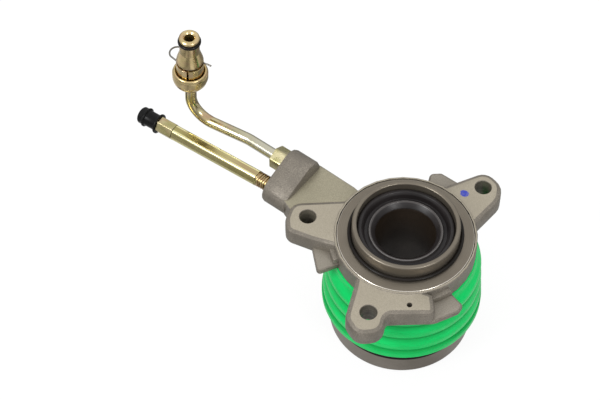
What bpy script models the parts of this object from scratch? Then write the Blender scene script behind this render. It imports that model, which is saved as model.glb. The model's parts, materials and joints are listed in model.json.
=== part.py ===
"""Concentric clutch slave cylinder: a ring-shaped hydraulic cylinder with its own release bearing.

All sizes are in millimetres. The cylinder axis is vertical, the bearing's thrust face is at height 0
and the bolted flange face is MOUNT_Z above it. The radii build up from the input shaft outwards and
the heights from the thrust face upwards, so a change of one size carries its neighbours along. A depth
is counted down from the flange face. At the end the whole assembly is moved sideways, so that the
middle of its footprint is the origin.
"""
import math

import bmesh
import bpy
from mathutils import Matrix, Vector

MM = 0.001
GAP = 0.3               # clearance between neighbouring pieces
TRAVEL = 14.0           # stroke of the release bearing

# Radii, from the input shaft outwards
SHAFT_R = 15.0          # input shaft on which the seal lip runs
SHAFT_ROOM = 1.0
TUBE_WALL = 1.2
CYLINDER_W = 8.2        # width of the ring cylinder
BARREL_WALL = 3.6
SPRING_ROOM = 0.9       # between the barrel and the preload spring
WIRE_R = 1.2
CARRIER_ROOM = 1.0      # between the spring and the carrier's rim
CARRIER_WALL = 1.3
NECK_STEP = 0.8         # neck smaller than the carrier
FLANGE_STEP = 1.9       # flange wall larger than the neck
FLANGE_RIM = 1.4        # flange wall outside the seal carrier's disc
SEAL_W = 7.2            # from the guide tube out to the seal pocket
SPIGOT_WALL = 2.4
BOLT_OUT = 13.9         # bolt circle outside the flange wall
LEDGE_W = 2.5
WEB_LENGTH = 23.5       # from the flange wall to the connection block
BLOCK_LENGTH = 15.1
STUB = 25.3             # pipe from the block to its first bend
TUBE_CLEAR = 3.3        # between the guide tube and the carriage

# Release bearing
BALLS = 12
BALL_R = 3.3
RACE_WALL = 4.0         # inner race under its groove's edge
RING_WALL = 7.0         # outer race outside its groove's edge
THRUST_STEP = 1.2       # thrust face starts outside the inner race's bore
THRUST_T = 2.8
SHIELD_T = 0.7

# Heights, from the thrust face up
CAGE_RIM = 0.9          # cage beyond the balls
BALL_ROOM = 2.0         # between the thrust ring and the cage
SHIELD_ROOM = 1.6       # between the shield and the carrier plate
CARRIER_T = 1.8
CARRIER_RIM = 3.7
STROKE_ROOM = 0.6       # left over the carrier plate at full stroke
PISTON_GRIP = 1.5       # piston above the barrel's foot at rest
CUP_H = 4.1
RESERVE = 11.0          # fluid left above the cup seal at full stroke
PLUG_T = 3.7
DISC_T = 3.0

# Casting, with its depths counted down from the flange face
FLANGE_DEPTH = 11.0
NECK_DEPTH = 16.0
ROOT = 8.0              # how far lugs and tabs reach into the flange
LUG_T = 10.65
LUG_DROP = 0.3          # lug faces below the seal carrier's face
LUG_ROUND = 2.4         # rounding between a lug's face and its walls
TAB_ROUND = 1.1
BOLT_HOLE_R = 4.2
PLATE_DEPTH = 10.6      # underside of the three tabs
TAB_DEPTH = 7.0         # top of the three tabs
LEDGE_DEPTH = 3.5
WEB_DEPTH = 1.5
WEB_UNDER = 13.5
BLIND_HOLE_R = 1.4

# Ports of the connection block
PORT_ANGLE = 142.0      # direction of the pipe port, degrees from +X
PORT_DEPTH = 2.0
BOSS_R = 8.5
BLEED_SIDE = 13.4       # bleed port beside the pipe port
BLEED_DEPTH = 7.0
BLEED_ANGLE = 145.6
PORT_R = 5.3
PORT_BORE = 13.2
THREAD_R = 4.0          # M8 thread of the bleeder
CHANNEL_R = 1.5
CHANNEL_DROP = 2.2      # drilling starts low in the port, to stay inside the web

# Seal carrier and the parts that it holds
SPIGOT_H = 8.9
POCKET_DEPTH = 2.4      # seal pocket's floor below the flange face
SEAL_H = 6.0
RING_R = 1.1            # thickness radius of the spigot's O-ring

# Spring and boot
COILS = 4.5
BOOT_WALL = 1.3
BOOT_COLLAR = 4.4
BOOT_SWELL = 5.6        # how far the widest fold stands out from the collar
BOOT_LIFT = 3.4         # boot's foot above the carrier plate's underside
FOLDS = 3

# Pressure pipe
PIPE_R = 3.05
PIPE_WALL = 0.9
RUN = 35.0              # from the shallow bend to the foot of the riser
RUN_ANGLE = 150.0
BEND_R = 13.0
RISER_LEAN = 2.1        # the riser leans back towards the block
NUT_H = 5.6             # hexagon of the tube nut
NUT_ROOM = 0.4          # hexagon wider than the port's bore

# Quick connector, with its heights along the riser from the corner of its bend
CUP_FOOT = 23.8
CUP_DEPTH = 11.8
CUP_WALL = 1.8
SOCKET_WALL = 1.3       # cup's foot round the pipe
SLEEVE_SEAT = 3.6       # sleeve's seat below the cup's lip
SLEEVE_H = 9.0
CLIP_SLOT = 1.5         # between the sleeve and the cone
CONE_H = 7.4
NECK_H = 10.6           # from the cone to the nose's tip
CONE_R = 6.95
CONE_STEP = 2.25        # cup wider than the cone
WAIST_STEP = 1.95       # waist narrower than the cone
NOSE_R = 5.2
NOSE_H = 2.0
SEAT_H = 2.9            # groove of the nose's sealing ring
CLIP_R = 0.45

# Bleeder, measured outwards from the mouth of its port
BAR_START = 8.07
BAR_END = 60.97
BAR_TURN = 28.0         # turn of its flats, degrees
SCREW_HEX = 9.4
CAP_LENGTH = 12.1

# Facets round large, middle and small turned pieces, and round pieces with a hexagon
BIG_COUNT = 32
MID_COUNT = 28
SMALL_COUNT = 18
HEX_COUNT = 24

# Radii that follow
TUBE_IN = SHAFT_R + SHAFT_ROOM
TUBE_R = TUBE_IN + TUBE_WALL
BORE_R = TUBE_R + CYLINDER_W
BARREL_R = BORE_R + BARREL_WALL
SPRING_R = BARREL_R + SPRING_ROOM + WIRE_R
CARRIER_R = SPRING_R + WIRE_R + CARRIER_ROOM + CARRIER_WALL
NECK_R = CARRIER_R - NECK_STEP
FLANGE_R = NECK_R + FLANGE_STEP
DISC_R = FLANGE_R - FLANGE_RIM
POCKET_R = TUBE_R + SEAL_W
SPIGOT_R = POCKET_R + SPIGOT_WALL
PLUG_R = BORE_R - GAP
LEDGE_R = FLANGE_R + LEDGE_W
BOLT_CIRCLE_R = FLANGE_R + BOLT_OUT
BLOCK_IN = FLANGE_R + WEB_LENGTH
BLOCK_OUT = BLOCK_IN + BLOCK_LENGTH
FIRST_BEND = BLOCK_OUT + STUB
PLATE_HOLE = TUBE_R + TUBE_CLEAR
RACE_BORE = PLATE_HOLE + 0.1
SHOULDER = 0.79 * BALL_R
GROOVE_IN = RACE_BORE + RACE_WALL
PITCH_R = GROOVE_IN + SHOULDER
GROOVE_OUT = PITCH_R + SHOULDER
RACE_R = GROOVE_OUT + RING_WALL
THRUST_IN = RACE_BORE + THRUST_STEP

# Heights that follow
CAGE_HALF = BALL_R + CAGE_RIM
BALL_Z = THRUST_T + BALL_ROOM + CAGE_HALF
RACE_H = BALL_Z + CAGE_HALF + 0.2
SHIELD_Z = RACE_H + GAP
PLATE_FOOT = SHIELD_Z + SHIELD_T + SHIELD_ROOM
PLATE_TOP = PLATE_FOOT + CARRIER_T
PISTON_FOOT = PLATE_TOP + GAP
BARREL_FOOT = PLATE_TOP + TRAVEL + STROKE_ROOM
PISTON_TOP = BARREL_FOOT + PISTON_GRIP
CUP_SEAL_Z = PISTON_TOP + GAP
PLUG_FOOT = CUP_SEAL_Z + CUP_H + TRAVEL + RESERVE
MOUNT_Z = PLUG_FOOT + PLUG_T + DISC_T

# Sizes of the fittings that follow
BAR_AF = 2 * THREAD_R
NUT_AF = 2 * PORT_R + NUT_ROOM
CUP_R = CONE_R + CONE_STEP
WAIST_R = CONE_R - WAIST_STEP
CUP_LIP = CUP_FOOT + CUP_DEPTH
CUP_FLOOR = CUP_LIP - SLEEVE_SEAT
SLEEVE_TOP = CUP_FLOOR + GAP + SLEEVE_H
CONE_Z = SLEEVE_TOP + CLIP_SLOT
NOSE = CONE_Z + CONE_H + NECK_H

CAST = ((0.40, 0.36, 0.30), 0.55, 0.85)
STEEL = ((0.38, 0.35, 0.32), 0.35, 1.0)
BRIGHT = ((0.62, 0.60, 0.57), 0.25, 1.0)
PLATED = ((0.62, 0.55, 0.33), 0.30, 1.0)
BLACK = ((0.02, 0.02, 0.022), 0.55, 0.0)
GREEN = ((0.02, 0.50, 0.13), 0.45, 0.0)
NYLON = ((0.20, 0.16, 0.10), 0.50, 0.0)


def below(depth):
    """Height of a level that lies depth below the flange face."""
    return MOUNT_Z - depth


def polar(angle, radius, z=0.0):
    """Point at an angle in degrees round the cylinder axis."""
    t = math.radians(angle)
    return Vector((radius * math.cos(t), radius * math.sin(t), z))


def aimed(origin, direction, side=(0.0, 0.0, 1.0)):
    """Placing whose Z runs along direction, with its Y as close to side as it can be."""
    z = Vector(direction).normalized()
    y = (Vector(side) - z * z.dot(Vector(side))).normalized()
    turn = Matrix((y.cross(z), y, z)).transposed().to_4x4()
    return Matrix.Translation(Vector(origin)) @ turn


def add_axis(name, placing, parent=None):
    """An empty that carries the pieces on one axis."""
    empty = bpy.data.objects.new(name, None)
    bpy.context.scene.collection.objects.link(empty)
    empty.parent = parent
    empty.matrix_local = Matrix.Translation(placing.translation * MM) @ placing.to_3x3().to_4x4()
    bpy.context.view_layer.update()
    return empty


def material(name, look):
    colour, roughness, metallic = look
    mat = bpy.data.materials.new(name)
    mat.use_nodes = True
    shader = mat.node_tree.nodes["Principled BSDF"]
    shader.inputs["Base Color"].default_value = (*colour, 1.0)
    shader.inputs["Roughness"].default_value = roughness
    shader.inputs["Metallic"].default_value = metallic
    return mat


def add_object(name, data, parent=None, look=None):
    """Link an object; a piece with a look gets its own material."""
    obj = bpy.data.objects.new(name, data)
    bpy.context.scene.collection.objects.link(obj)
    obj.parent = parent
    if look:
        dress(obj, look)
    return obj


def dress(obj, look):
    obj.data.materials.clear()
    obj.data.materials.append(material(obj.name + "_finish", look))
    if obj.type == 'MESH':
        obj.data.shade_smooth()
        obj.data.set_sharp_from_angle(angle=math.radians(30.0))


def to_mesh(bm, name):
    """Clean a millimetre bmesh, bring it to metres and store it."""
    bmesh.ops.remove_doubles(bm, verts=bm.verts, dist=0.001)
    bmesh.ops.recalc_face_normals(bm, faces=bm.faces)
    bmesh.ops.scale(bm, vec=(MM, MM, MM), verts=bm.verts)
    mesh = bpy.data.meshes.new(name)
    bm.to_mesh(mesh)
    bm.free()
    return mesh


def turned(name, profile, sides, look=None, parent=None, ring=True, hexagon=None):
    """Spin a profile of (radius, height) about Z.

    A ring's profile is a closed loop. Any other profile runs from end to end, and its ends are
    closed. hexagon gives (low, high, width across flats) of a stretch that is milled to six flats.
    """
    bm = bmesh.new()
    verts = [bm.verts.new((r, 0.0, z)) for r, z in profile]
    ends = verts[1:] + verts[:1] if ring else verts[1:]
    edges = [bm.edges.new(pair) for pair in zip(verts, ends)]
    bmesh.ops.spin(bm, geom=verts + edges, cent=(0, 0, 0), axis=(0, 0, 1), angle=2 * math.pi,
                   steps=sides, use_merge=True)
    bmesh.ops.remove_doubles(bm, verts=bm.verts, dist=0.001)
    if not ring:
        bmesh.ops.holes_fill(bm, edges=[e for e in bm.edges if e.is_boundary], sides=0)
    if hexagon:
        low, high, width = hexagon
        for v in bm.verts:
            outer = math.hypot(v.co.x, v.co.y)
            if low - 0.01 < v.co.z < high + 0.01 and outer > width / 2 - 0.01:
                t = math.atan2(v.co.y, v.co.x)
                flat = (t + math.pi / 6) % (math.pi / 3) - math.pi / 6
                grow = width / 2 / math.cos(flat) / outer
                v.co.x *= grow
                v.co.y *= grow
    return add_object(name, to_mesh(bm, name), parent, look)


def round_section(r, z, section, sides, tall=1.0):
    """Profile of an O-ring; tall makes it an upright oval."""
    turns = [2 * math.pi * (k + 0.5) / sides for k in range(sides)]
    return [(r + section * math.cos(t), z + section * tall * math.sin(t)) for t in turns]


def rounded(points, step=20.0):
    """Outline whose corners are rounded. Each point is (x, y, corner radius)."""
    out = []
    for i, (x, y, r) in enumerate(points):
        p = Vector((x, y))
        a = Vector(points[i - 1][:2]) - p
        b = Vector(points[(i + 1) % len(points)][:2]) - p
        if r <= 0.0:
            out.append(p)
            continue
        reach = 0.48 * min(a.length, b.length)
        a.normalize()
        b.normalize()
        half = math.acos(max(-1.0, min(1.0, a.dot(b)))) / 2
        cut = min(r / math.tan(half), reach)
        centre = p + (a + b).normalized() * (cut / math.cos(half))
        start, end = p + a * cut - centre, p + b * cut - centre
        sweep = math.atan2(start.x * end.y - start.y * end.x, start.dot(end))
        count = max(2, math.ceil(abs(math.degrees(sweep)) / step))
        out += [centre + Matrix.Rotation(sweep * k / count, 2) @ start for k in range(count + 1)]
    return out


def plate(name, outline, low, high, low_round=0.0, high_round=0.0):
    """Extrude an outline from low to high and round its lower and upper rims."""
    bm = bmesh.new()
    base = bm.faces.new([bm.verts.new((p.x, p.y, low)) for p in outline])
    made = bmesh.ops.extrude_face_region(bm, geom=[base])["geom"]
    top = [v for v in made if isinstance(v, bmesh.types.BMVert)]
    bmesh.ops.translate(bm, verts=top, vec=(0.0, 0.0, high - low))
    bmesh.ops.recalc_face_normals(bm, faces=bm.faces)
    for level, radius in ((high, high_round), (low, low_round)):
        if radius > 0.0:
            rim = [e for e in bm.edges if all(abs(v.co.z - level) < 1e-4 for v in e.verts)]
            bmesh.ops.bevel(bm, geom=rim, offset=radius, offset_type='OFFSET', segments=2,
                            profile=0.5, affect='EDGES', clamp_overlap=True)
    return add_object(name, to_mesh(bm, name))


def place(obj, placing):
    obj.matrix_world = Matrix.Translation(placing.translation * MM) @ placing.to_3x3().to_4x4()
    bpy.context.view_layer.update()
    return obj


def combine(target, tools, operation):
    """Boolean of target with each tool in turn; the tools are used up."""
    for tool in tools:
        tool.hide_render = True
        tool.display_type = 'WIRE'
        step = target.modifiers.new("combine", 'BOOLEAN')
        step.operation = operation
        step.solver = 'EXACT'
        step.object = tool
        graph = bpy.context.evaluated_depsgraph_get()
        target.data = bpy.data.meshes.new_from_object(target.evaluated_get(graph))
        target.modifiers.clear()
        bpy.data.objects.remove(tool, do_unlink=True)
    bm = bmesh.new()
    bm.from_mesh(target.data)
    bmesh.ops.remove_doubles(bm, verts=bm.verts, dist=0.00001)
    bmesh.ops.dissolve_degenerate(bm, edges=bm.edges, dist=0.00001)
    bm.to_mesh(target.data)
    bm.free()
    target.data.name = target.name


def along(path, radii, name, look, parent, sides, wall=None):
    """Round bar or, with a wall, a tube along a path; radii holds one radius for each point."""
    curve = bpy.data.curves.new(name, 'CURVE')
    curve.dimensions = '3D'
    curve.bevel_depth = MM
    curve.bevel_resolution = sides // 2 - 2
    curve.use_fill_caps = wall is None
    spline = curve.splines.new('POLY')
    spline.points.add(len(path) - 1)
    for point, p, r in zip(spline.points, path, radii):
        point.co = (*(p * MM), 1.0)
        point.radius = r
    obj = add_object(name, curve, parent, look)
    if wall:
        shell = obj.modifiers.new("wall", 'SOLIDIFY')
        shell.thickness = wall * MM
        shell.offset = -1.0
        shell.use_even_offset = True
    return obj


def bent(points, radii, step):
    """Straight runs between the points, with an arc of the given radius at each inner point."""
    path = [points[0]]
    for before, p, after, r in zip(points, points[1:], points[2:], radii):
        a, b = (before - p).normalized(), (after - p).normalized()
        half = math.acos(a.dot(b)) / 2
        centre = p + (a + b).normalized() * (r / math.sin(half))
        first = p + a * (r / math.tan(half)) - centre
        sweep = math.pi - 2 * half
        count = math.ceil(math.degrees(sweep) / step)
        hinge = a.cross(b).normalized()
        path += [centre + Matrix.Rotation(-sweep * k / count, 3, hinge) @ first
                 for k in range(count + 1)]
    return path + [points[-1]]


# Clean start
for old in list(bpy.data.objects):
    bpy.data.objects.remove(old, do_unlink=True)
unit = add_axis("slave_cylinder", Matrix.Identity(4))

# Directions and mouths of the two ports
port_dir = polar(PORT_ANGLE, 1.0)
port_side = Vector((port_dir.y, -port_dir.x, 0.0))
bleed_dir = polar(BLEED_ANGLE, 1.0)
port_mouth = polar(PORT_ANGLE, BLOCK_OUT, below(PORT_DEPTH))
bleed_mouth = polar(PORT_ANGLE, BLOCK_OUT, below(BLEED_DEPTH)) - port_side * BLEED_SIDE
port_axis = add_axis("port_axis", aimed(port_mouth, port_dir), unit)
bleeder_axis = add_axis("bleeder_axis", aimed(bleed_mouth, bleed_dir), unit)

# Levels that several pieces share
carrier_seat = below(DISC_T + GAP)
pocket_floor = below(POCKET_DEPTH)
lug_face = below(LUG_DROP)


def lug(name, angle, left, right, front):
    """Bolt lug: an outline round its hole, joined to the flange by two straight sides.

    front holds (outwards from the hole, sideways, corner radius); left and right say how far
    beside the hole each side meets the flange.
    """
    out, side = polar(angle, 1.0).xy, polar(angle + 90.0, 1.0).xy
    root = FLANGE_R - ROOT
    points = [(root, left, 0.0)]
    points += [(BOLT_CIRCLE_R + u, v, r) for u, v, r in front]
    points.append((root, right, 0.0))
    outline = [(*(out * u + side * v), r) for u, v, r in points]
    return plate(name, rounded(outline), below(LUG_DROP + LUG_T), lug_face, 2.2, LUG_ROUND)


def flange_outline(points):
    """Outline given as (angle, distance outside the flange wall, corner radius)."""
    return rounded([(*polar(a, FLANGE_R + d).xy, r) for a, d, r in points])


def ledge(name, start, end):
    """Raised step beside the flange wall, between two angles."""
    count = max(2, math.ceil(abs(end - start) / 6.0))
    outer = [polar(start + (end - start) * k / count, LEDGE_R).xy for k in range(count + 1)]
    inner = [polar(end, FLANGE_R - ROOT).xy, polar(start, FLANGE_R - ROOT).xy]
    return plate(name, outer + inner, below(PLATE_DEPTH - 1.0), below(LEDGE_DEPTH), 0.0, 0.8)


def connection_block():
    """Hull of the two port bosses, drawn across the pipe port's direction."""
    centres = [Vector((0.0, below(PORT_DEPTH))), Vector((-BLEED_SIDE, below(BLEED_DEPTH)))]
    line = centres[1] - centres[0]
    first = math.atan2(line.y, line.x) + math.pi / 2
    outline = []
    for centre in (centres[1], centres[0]):
        for k in range(10):
            t = first - math.pi * k / 9
            outline.append(centre + Vector((math.cos(t), math.sin(t))) * BOSS_R)
        first += math.pi
    block = plate("block", outline, -BLOCK_OUT, -BLOCK_IN, 1.2, 1.6)
    across = Matrix((port_side, Vector((0, 0, 1)), -port_dir)).transposed().to_4x4()
    return place(block, across)


def web():
    """Flat web from the flange out to the block; its deep part leaves room for the boot's collar."""
    foot = BLOCK_IN + 1.5
    points = [(FLANGE_R - ROOT, 6.7, 0), (FLANGE_R + 2.2, 8.5, 0), (foot, 9.0, 2),
              (BLOCK_OUT - 7.0, 2.0, 0), (BLOCK_OUT - 3.0, -14.6, 0), (foot, -20.4, 2),
              (FLANGE_R + 15.0, -24.4, 0), (FLANGE_R - ROOT, -15.7, 0)]
    outline = [(*(port_dir * u + port_side * v).xy, r) for u, v, r in points]
    body = plate("web", rounded(outline), below(WEB_UNDER), below(WEB_DEPTH), 1.2, 0.5)
    room = NECK_R + BOOT_WALL + 2.2
    relief = turned("relief", [(room, below(FLANGE_DEPTH)), (room, below(WEB_UNDER + 2.0))], BIG_COUNT,
                    ring=False)
    combine(body, [relief], 'DIFFERENCE')
    return body


def drill(name, start, end, radius, sides):
    """Straight drilling between two points."""
    span = end - start
    rod = turned(name, [(radius, 0.0), (radius, span.length)], sides, ring=False)
    return place(rod, aimed(start, span))


def build_housing():
    """Casting: flange, lugs, tabs, web, connection block and cylinder barrel in one piece."""
    neck, foot = below(NECK_DEPTH), BARREL_FOOT
    housing = turned("housing", [
        (FLANGE_R - 0.4, MOUNT_Z), (FLANGE_R, MOUNT_Z - 0.4), (FLANGE_R, below(FLANGE_DEPTH)),
        (NECK_R, below(FLANGE_DEPTH)), (NECK_R, neck + 0.6), (NECK_R - 0.6, neck),
        (BARREL_R, neck), (BARREL_R, foot + 0.8), (BARREL_R - 0.8, foot)], BIG_COUNT, parent=unit,
        ring=False)
    lug_angles = {"left": 167.1, "right": 36.0, "lower": -113.0}
    solids = [
        lug("lug_left", lug_angles["left"], -16.0, 15.0,
            [(10.0, -6.8, 8), (10.8, 3.5, 8), (8.6, 10.9, 5), (-5.0, 13.6, 12)]),
        lug("lug_right", lug_angles["right"], -16.5, 14.0,
            [(2.0, -11.1, 9), (9.1, -4.1, 8), (8.0, 7.4, 7)]),
        lug("lug_lower", lug_angles["lower"], -14.7, 25.0,
            [(-11.5, -12.2, 5), (7.6, -9.4, 8), (14.2, -0.8, 7), (8.2, 10.3, 7), (-2.3, 8.5, 4),
             (-11.5, 30.3, 3.2)]),
        plate("tab_front", flange_outline([(-104, -ROOT, 0), (-104.5, 13.4, 1), (-75.0, 12.6, 8),
                                           (-58.8, 12.2, 2.6), (-54.0, 10.2, 2.2), (-54.4, 3.2, 2),
                                           (-54, -ROOT, 0)]),
              below(PLATE_DEPTH - 0.3), below(TAB_DEPTH), 1.0, TAB_ROUND),
        plate("tab_left", flange_outline([(176, -ROOT, 0), (178.8, 11.2, 0), (202.0, 11.5, 1.8),
                                          (201.7, 3.0, 1.2), (201, -ROOT, 0)]),
              below(PLATE_DEPTH), below(TAB_DEPTH), 1.0, TAB_ROUND),
        plate("tab_top", flange_outline([(69, -ROOT, 0), (71.6, 9.8, 2.4), (65.1, 12.3, 2.4),
                                         (51.0, 11.2, 1.5), (40, -ROOT, 0)]),
              below(PLATE_DEPTH), below(TAB_DEPTH), 1.0, TAB_ROUND),
        ledge("ledge_front", -80.0, -55.2),
        ledge("ledge_left", 178.0, 200.4),
        ledge("ledge_top", 69.2, 54.4),
        web(),
        connection_block(),
    ]
    combine(housing, solids, 'UNION')

    over, under = MOUNT_Z + 1.0, BARREL_FOOT - 1.0
    disc_r = DISC_R + GAP
    port_end = port_mouth - port_dir * PORT_BORE
    port_low = port_end + port_dir * 0.4 - Vector((0.0, 0.0, CHANNEL_DROP))
    chamber = polar(PORT_ANGLE, BORE_R - 1.5, PLUG_FOOT - CHANNEL_R - 0.6)
    bleed_end = bleed_mouth - bleed_dir * 10.0
    inward = bleed_end.xy.dot(bleed_dir.xy)
    aside = bleed_end.xy - bleed_dir.xy * inward
    reach = inward - math.sqrt((BORE_R - 1.0) ** 2 - aside.length_squared)
    bleed_in = bleed_end - bleed_dir * reach
    bleed_in.z = chamber.z
    cuts = [
        turned("bore", [(disc_r, over), (disc_r, carrier_seat), (BORE_R, carrier_seat), (BORE_R, under)],
               BIG_COUNT, ring=False),
        drill("port", port_end, port_mouth + port_dir * 3.0, PORT_R, 20),
        drill("port_channel", port_low, chamber, CHANNEL_R, 8),
        drill("bleed_port", bleed_end, bleed_mouth + bleed_dir * 4.0, THREAD_R + GAP, 20),
        drill("bleed_channel", bleed_end + bleed_dir * 0.4, bleed_in, CHANNEL_R, 8),
    ]
    for name, angle in lug_angles.items():
        hole = turned("bolt_hole_" + name, [
            (BOLT_HOLE_R, below(LUG_T + 2.0)), (BOLT_HOLE_R, lug_face - 0.3),
            (BOLT_HOLE_R + 0.4, lug_face + 0.1), (BOLT_HOLE_R + 0.4, over)], 20, ring=False)
        cuts.append(place(hole, Matrix.Translation(polar(angle, BOLT_CIRCLE_R))))
    blind = turned("blind_hole", [(BLIND_HOLE_R, below(5.0)), (BLIND_HOLE_R, over)], 12, ring=False)
    cuts.append(place(blind, Matrix.Translation(polar(-89.4, FLANGE_R + 5.8))))
    combine(housing, cuts, 'DIFFERENCE')
    dress(housing, CAST)


def build_seal_carrier():
    """Steel disc with the centring spigot, and the plug that closes the ring cylinder."""
    tube_hole = TUBE_R + GAP
    groove_r = PLUG_R - 1.6
    groove_top = carrier_seat - 0.6
    groove_foot = groove_top - 2.0
    crest = MOUNT_Z + SPIGOT_H
    turned("seal_carrier", [
        (SPIGOT_R, MOUNT_Z), (SPIGOT_R, crest - 0.6), (SPIGOT_R - 0.6, crest), (POCKET_R + 0.5, crest),
        (POCKET_R, crest - 0.5), (POCKET_R, pocket_floor), (tube_hole, pocket_floor),
        (tube_hole, PLUG_FOOT), (PLUG_R, PLUG_FOOT), (PLUG_R, groove_foot), (groove_r, groove_foot),
        (groove_r, groove_top), (PLUG_R, groove_top), (PLUG_R, below(DISC_T)),
        (DISC_R, below(DISC_T)), (DISC_R, MOUNT_Z - 0.5), (DISC_R - 0.5, MOUNT_Z)],
        BIG_COUNT, STEEL, unit)
    middle = (groove_top + groove_foot) / 2
    turned("carrier_oring", round_section((PLUG_R + groove_r) / 2, middle, 0.65, 6), BIG_COUNT, BLACK, unit)
    turned("spigot_oring", round_section(SPIGOT_R + 0.1 + RING_R, MOUNT_Z + 0.1 + RING_R, RING_R, 6),
           BIG_COUNT, BLACK, unit)


def build_guide_tube():
    """Guide tube with a flange in the seal pocket, its stop ring, and the shaft seal on top."""
    ring_top = PISTON_FOOT - 0.5
    ring_t = 0.9
    flange_z = pocket_floor + GAP
    flange_t = TUBE_WALL
    slot = TUBE_R - 0.6
    turned("guide_tube", [
        (TUBE_IN, flange_z + flange_t), (TUBE_IN, ring_top - 2.9),
        (TUBE_R, ring_top - 2.9), (TUBE_R, ring_top - ring_t - 0.2), (slot, ring_top - ring_t - 0.2),
        (slot, ring_top + 0.2), (TUBE_R, ring_top + 0.2), (TUBE_R, flange_z),
        (POCKET_R - GAP, flange_z), (POCKET_R - GAP, flange_z + flange_t)], MID_COUNT, BRIGHT, unit)
    turned("stop_ring", [
        (slot + 0.2, ring_top - ring_t), (TUBE_R + 2.2, ring_top - ring_t), (TUBE_R + 2.2, ring_top),
        (slot + 0.2, ring_top)], MID_COUNT, STEEL, unit)
    foot = flange_z + flange_t + GAP
    rim = POCKET_R - GAP
    turned("shaft_seal", [
        (rim, foot), (rim, foot + SEAL_H - 0.6), (rim - 0.6, foot + SEAL_H), (rim - 2.0, foot + SEAL_H),
        (rim - 2.9, foot + SEAL_H - 1.4), (rim - 3.6, foot + 2.2), (SHAFT_R + 3.7, foot + 2.4),
        (SHAFT_R + 3.2, foot + 4.0), (SHAFT_R + 2.6, foot + 4.0), (SHAFT_R, foot + 1.4),
        (SHAFT_R + 1.6, foot)], BIG_COUNT, BLACK, unit)


def build_piston():
    """Ring piston, the cup seal above it and the plate that carries the bearing."""
    inner, outer = TUBE_R + GAP, BORE_R - GAP
    top = PISTON_TOP
    turned("piston", [
        (inner, PISTON_FOOT), (outer, PISTON_FOOT), (outer, top - 0.5), (outer - 0.5, top),
        (inner + 0.5, top), (inner, top - 0.5)], MID_COUNT, NYLON, unit)
    foot = CUP_SEAL_Z
    crest = foot + CUP_H
    turned("pressure_seal", [
        (inner, foot), (outer, foot), (outer, crest), (outer - 0.9, crest), (outer - 2.6, foot + 1.9),
        (inner + 2.6, foot + 1.9), (inner + 0.9, crest), (inner, crest)], MID_COUNT, BLACK, unit)
    rim, lip = CARRIER_R, PLATE_TOP + CARRIER_RIM
    turned("bearing_carrier", [
        (PLATE_HOLE, PLATE_FOOT), (rim - 0.7, PLATE_FOOT), (rim, PLATE_FOOT + 0.7), (rim, lip),
        (rim - CARRIER_WALL, lip), (rim - CARRIER_WALL, PLATE_TOP), (PLATE_HOLE, PLATE_TOP)],
        BIG_COUNT, STEEL, unit)


def build_spring():
    """Preload spring between the casting's neck and the carrier plate, with flat end turns."""
    high = below(NECK_DEPTH) - GAP - WIRE_R
    low = PLATE_TOP + GAP + WIRE_R
    end_rise = 2 * WIRE_R + 0.5
    per_turn = 14
    count = round(COILS * per_turn)
    path = []
    for k in range(count + 1):
        turn = COILS * k / count
        middle = min(max(turn - 1.0, 0.0), COILS - 2.0) / (COILS - 2.0)
        ends = min(turn, 1.0) + max(turn - COILS + 1.0, 0.0)
        z = high - end_rise * ends - (high - low - 2 * end_rise) * middle
        path.append(polar(360.0 * turn, SPRING_R, z))
    along(path, [WIRE_R] * len(path), "preload_spring", BRIGHT, unit, 6)


def build_boot():
    """Rubber dust boot: a collar on the neck, shallow folds that widen, a lip round the carrier."""
    grip = NECK_R + GAP
    top = below(FLANGE_DEPTH) - GAP
    foot = PLATE_FOOT + BOOT_LIFT
    collar_r = grip + BOOT_WALL + 0.9
    band = 5.4
    folds_top = top - BOOT_COLLAR
    pitch = (folds_top - foot - band) / FOLDS
    outside = [(collar_r, top), (collar_r, folds_top)]
    for k in range(FOLDS):
        crest = collar_r + BOOT_SWELL * (0.5 + 0.4 * k / FOLDS)
        z = folds_top - pitch * k
        outside += [(crest, z - 0.42 * pitch), (crest - 0.1, z - 0.78 * pitch),
                    (crest - 1.0, z - 0.98 * pitch)]
    widest = collar_r + BOOT_SWELL - 0.9
    outside += [(widest, foot + band - 0.6), (widest, foot + 0.8), (widest - 0.7, foot)]
    inside = [(widest - BOOT_WALL, foot + 1.6), (widest - BOOT_WALL, foot + band - 0.9)]
    for k in reversed(range(FOLDS)):
        crest = collar_r + BOOT_SWELL * (0.5 + 0.4 * k / FOLDS) - BOOT_WALL
        z = folds_top - pitch * k
        inside += [(crest - 0.9, z - 0.98 * pitch), (crest, z - 0.55 * pitch)]
    inside += [(grip, folds_top - 0.4), (grip, top)]
    lip = [(CARRIER_R + GAP, foot), (CARRIER_R + GAP, foot + 1.6)]
    turned("dust_boot", outside + lip + inside, BIG_COUNT, GREEN, unit)


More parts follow.
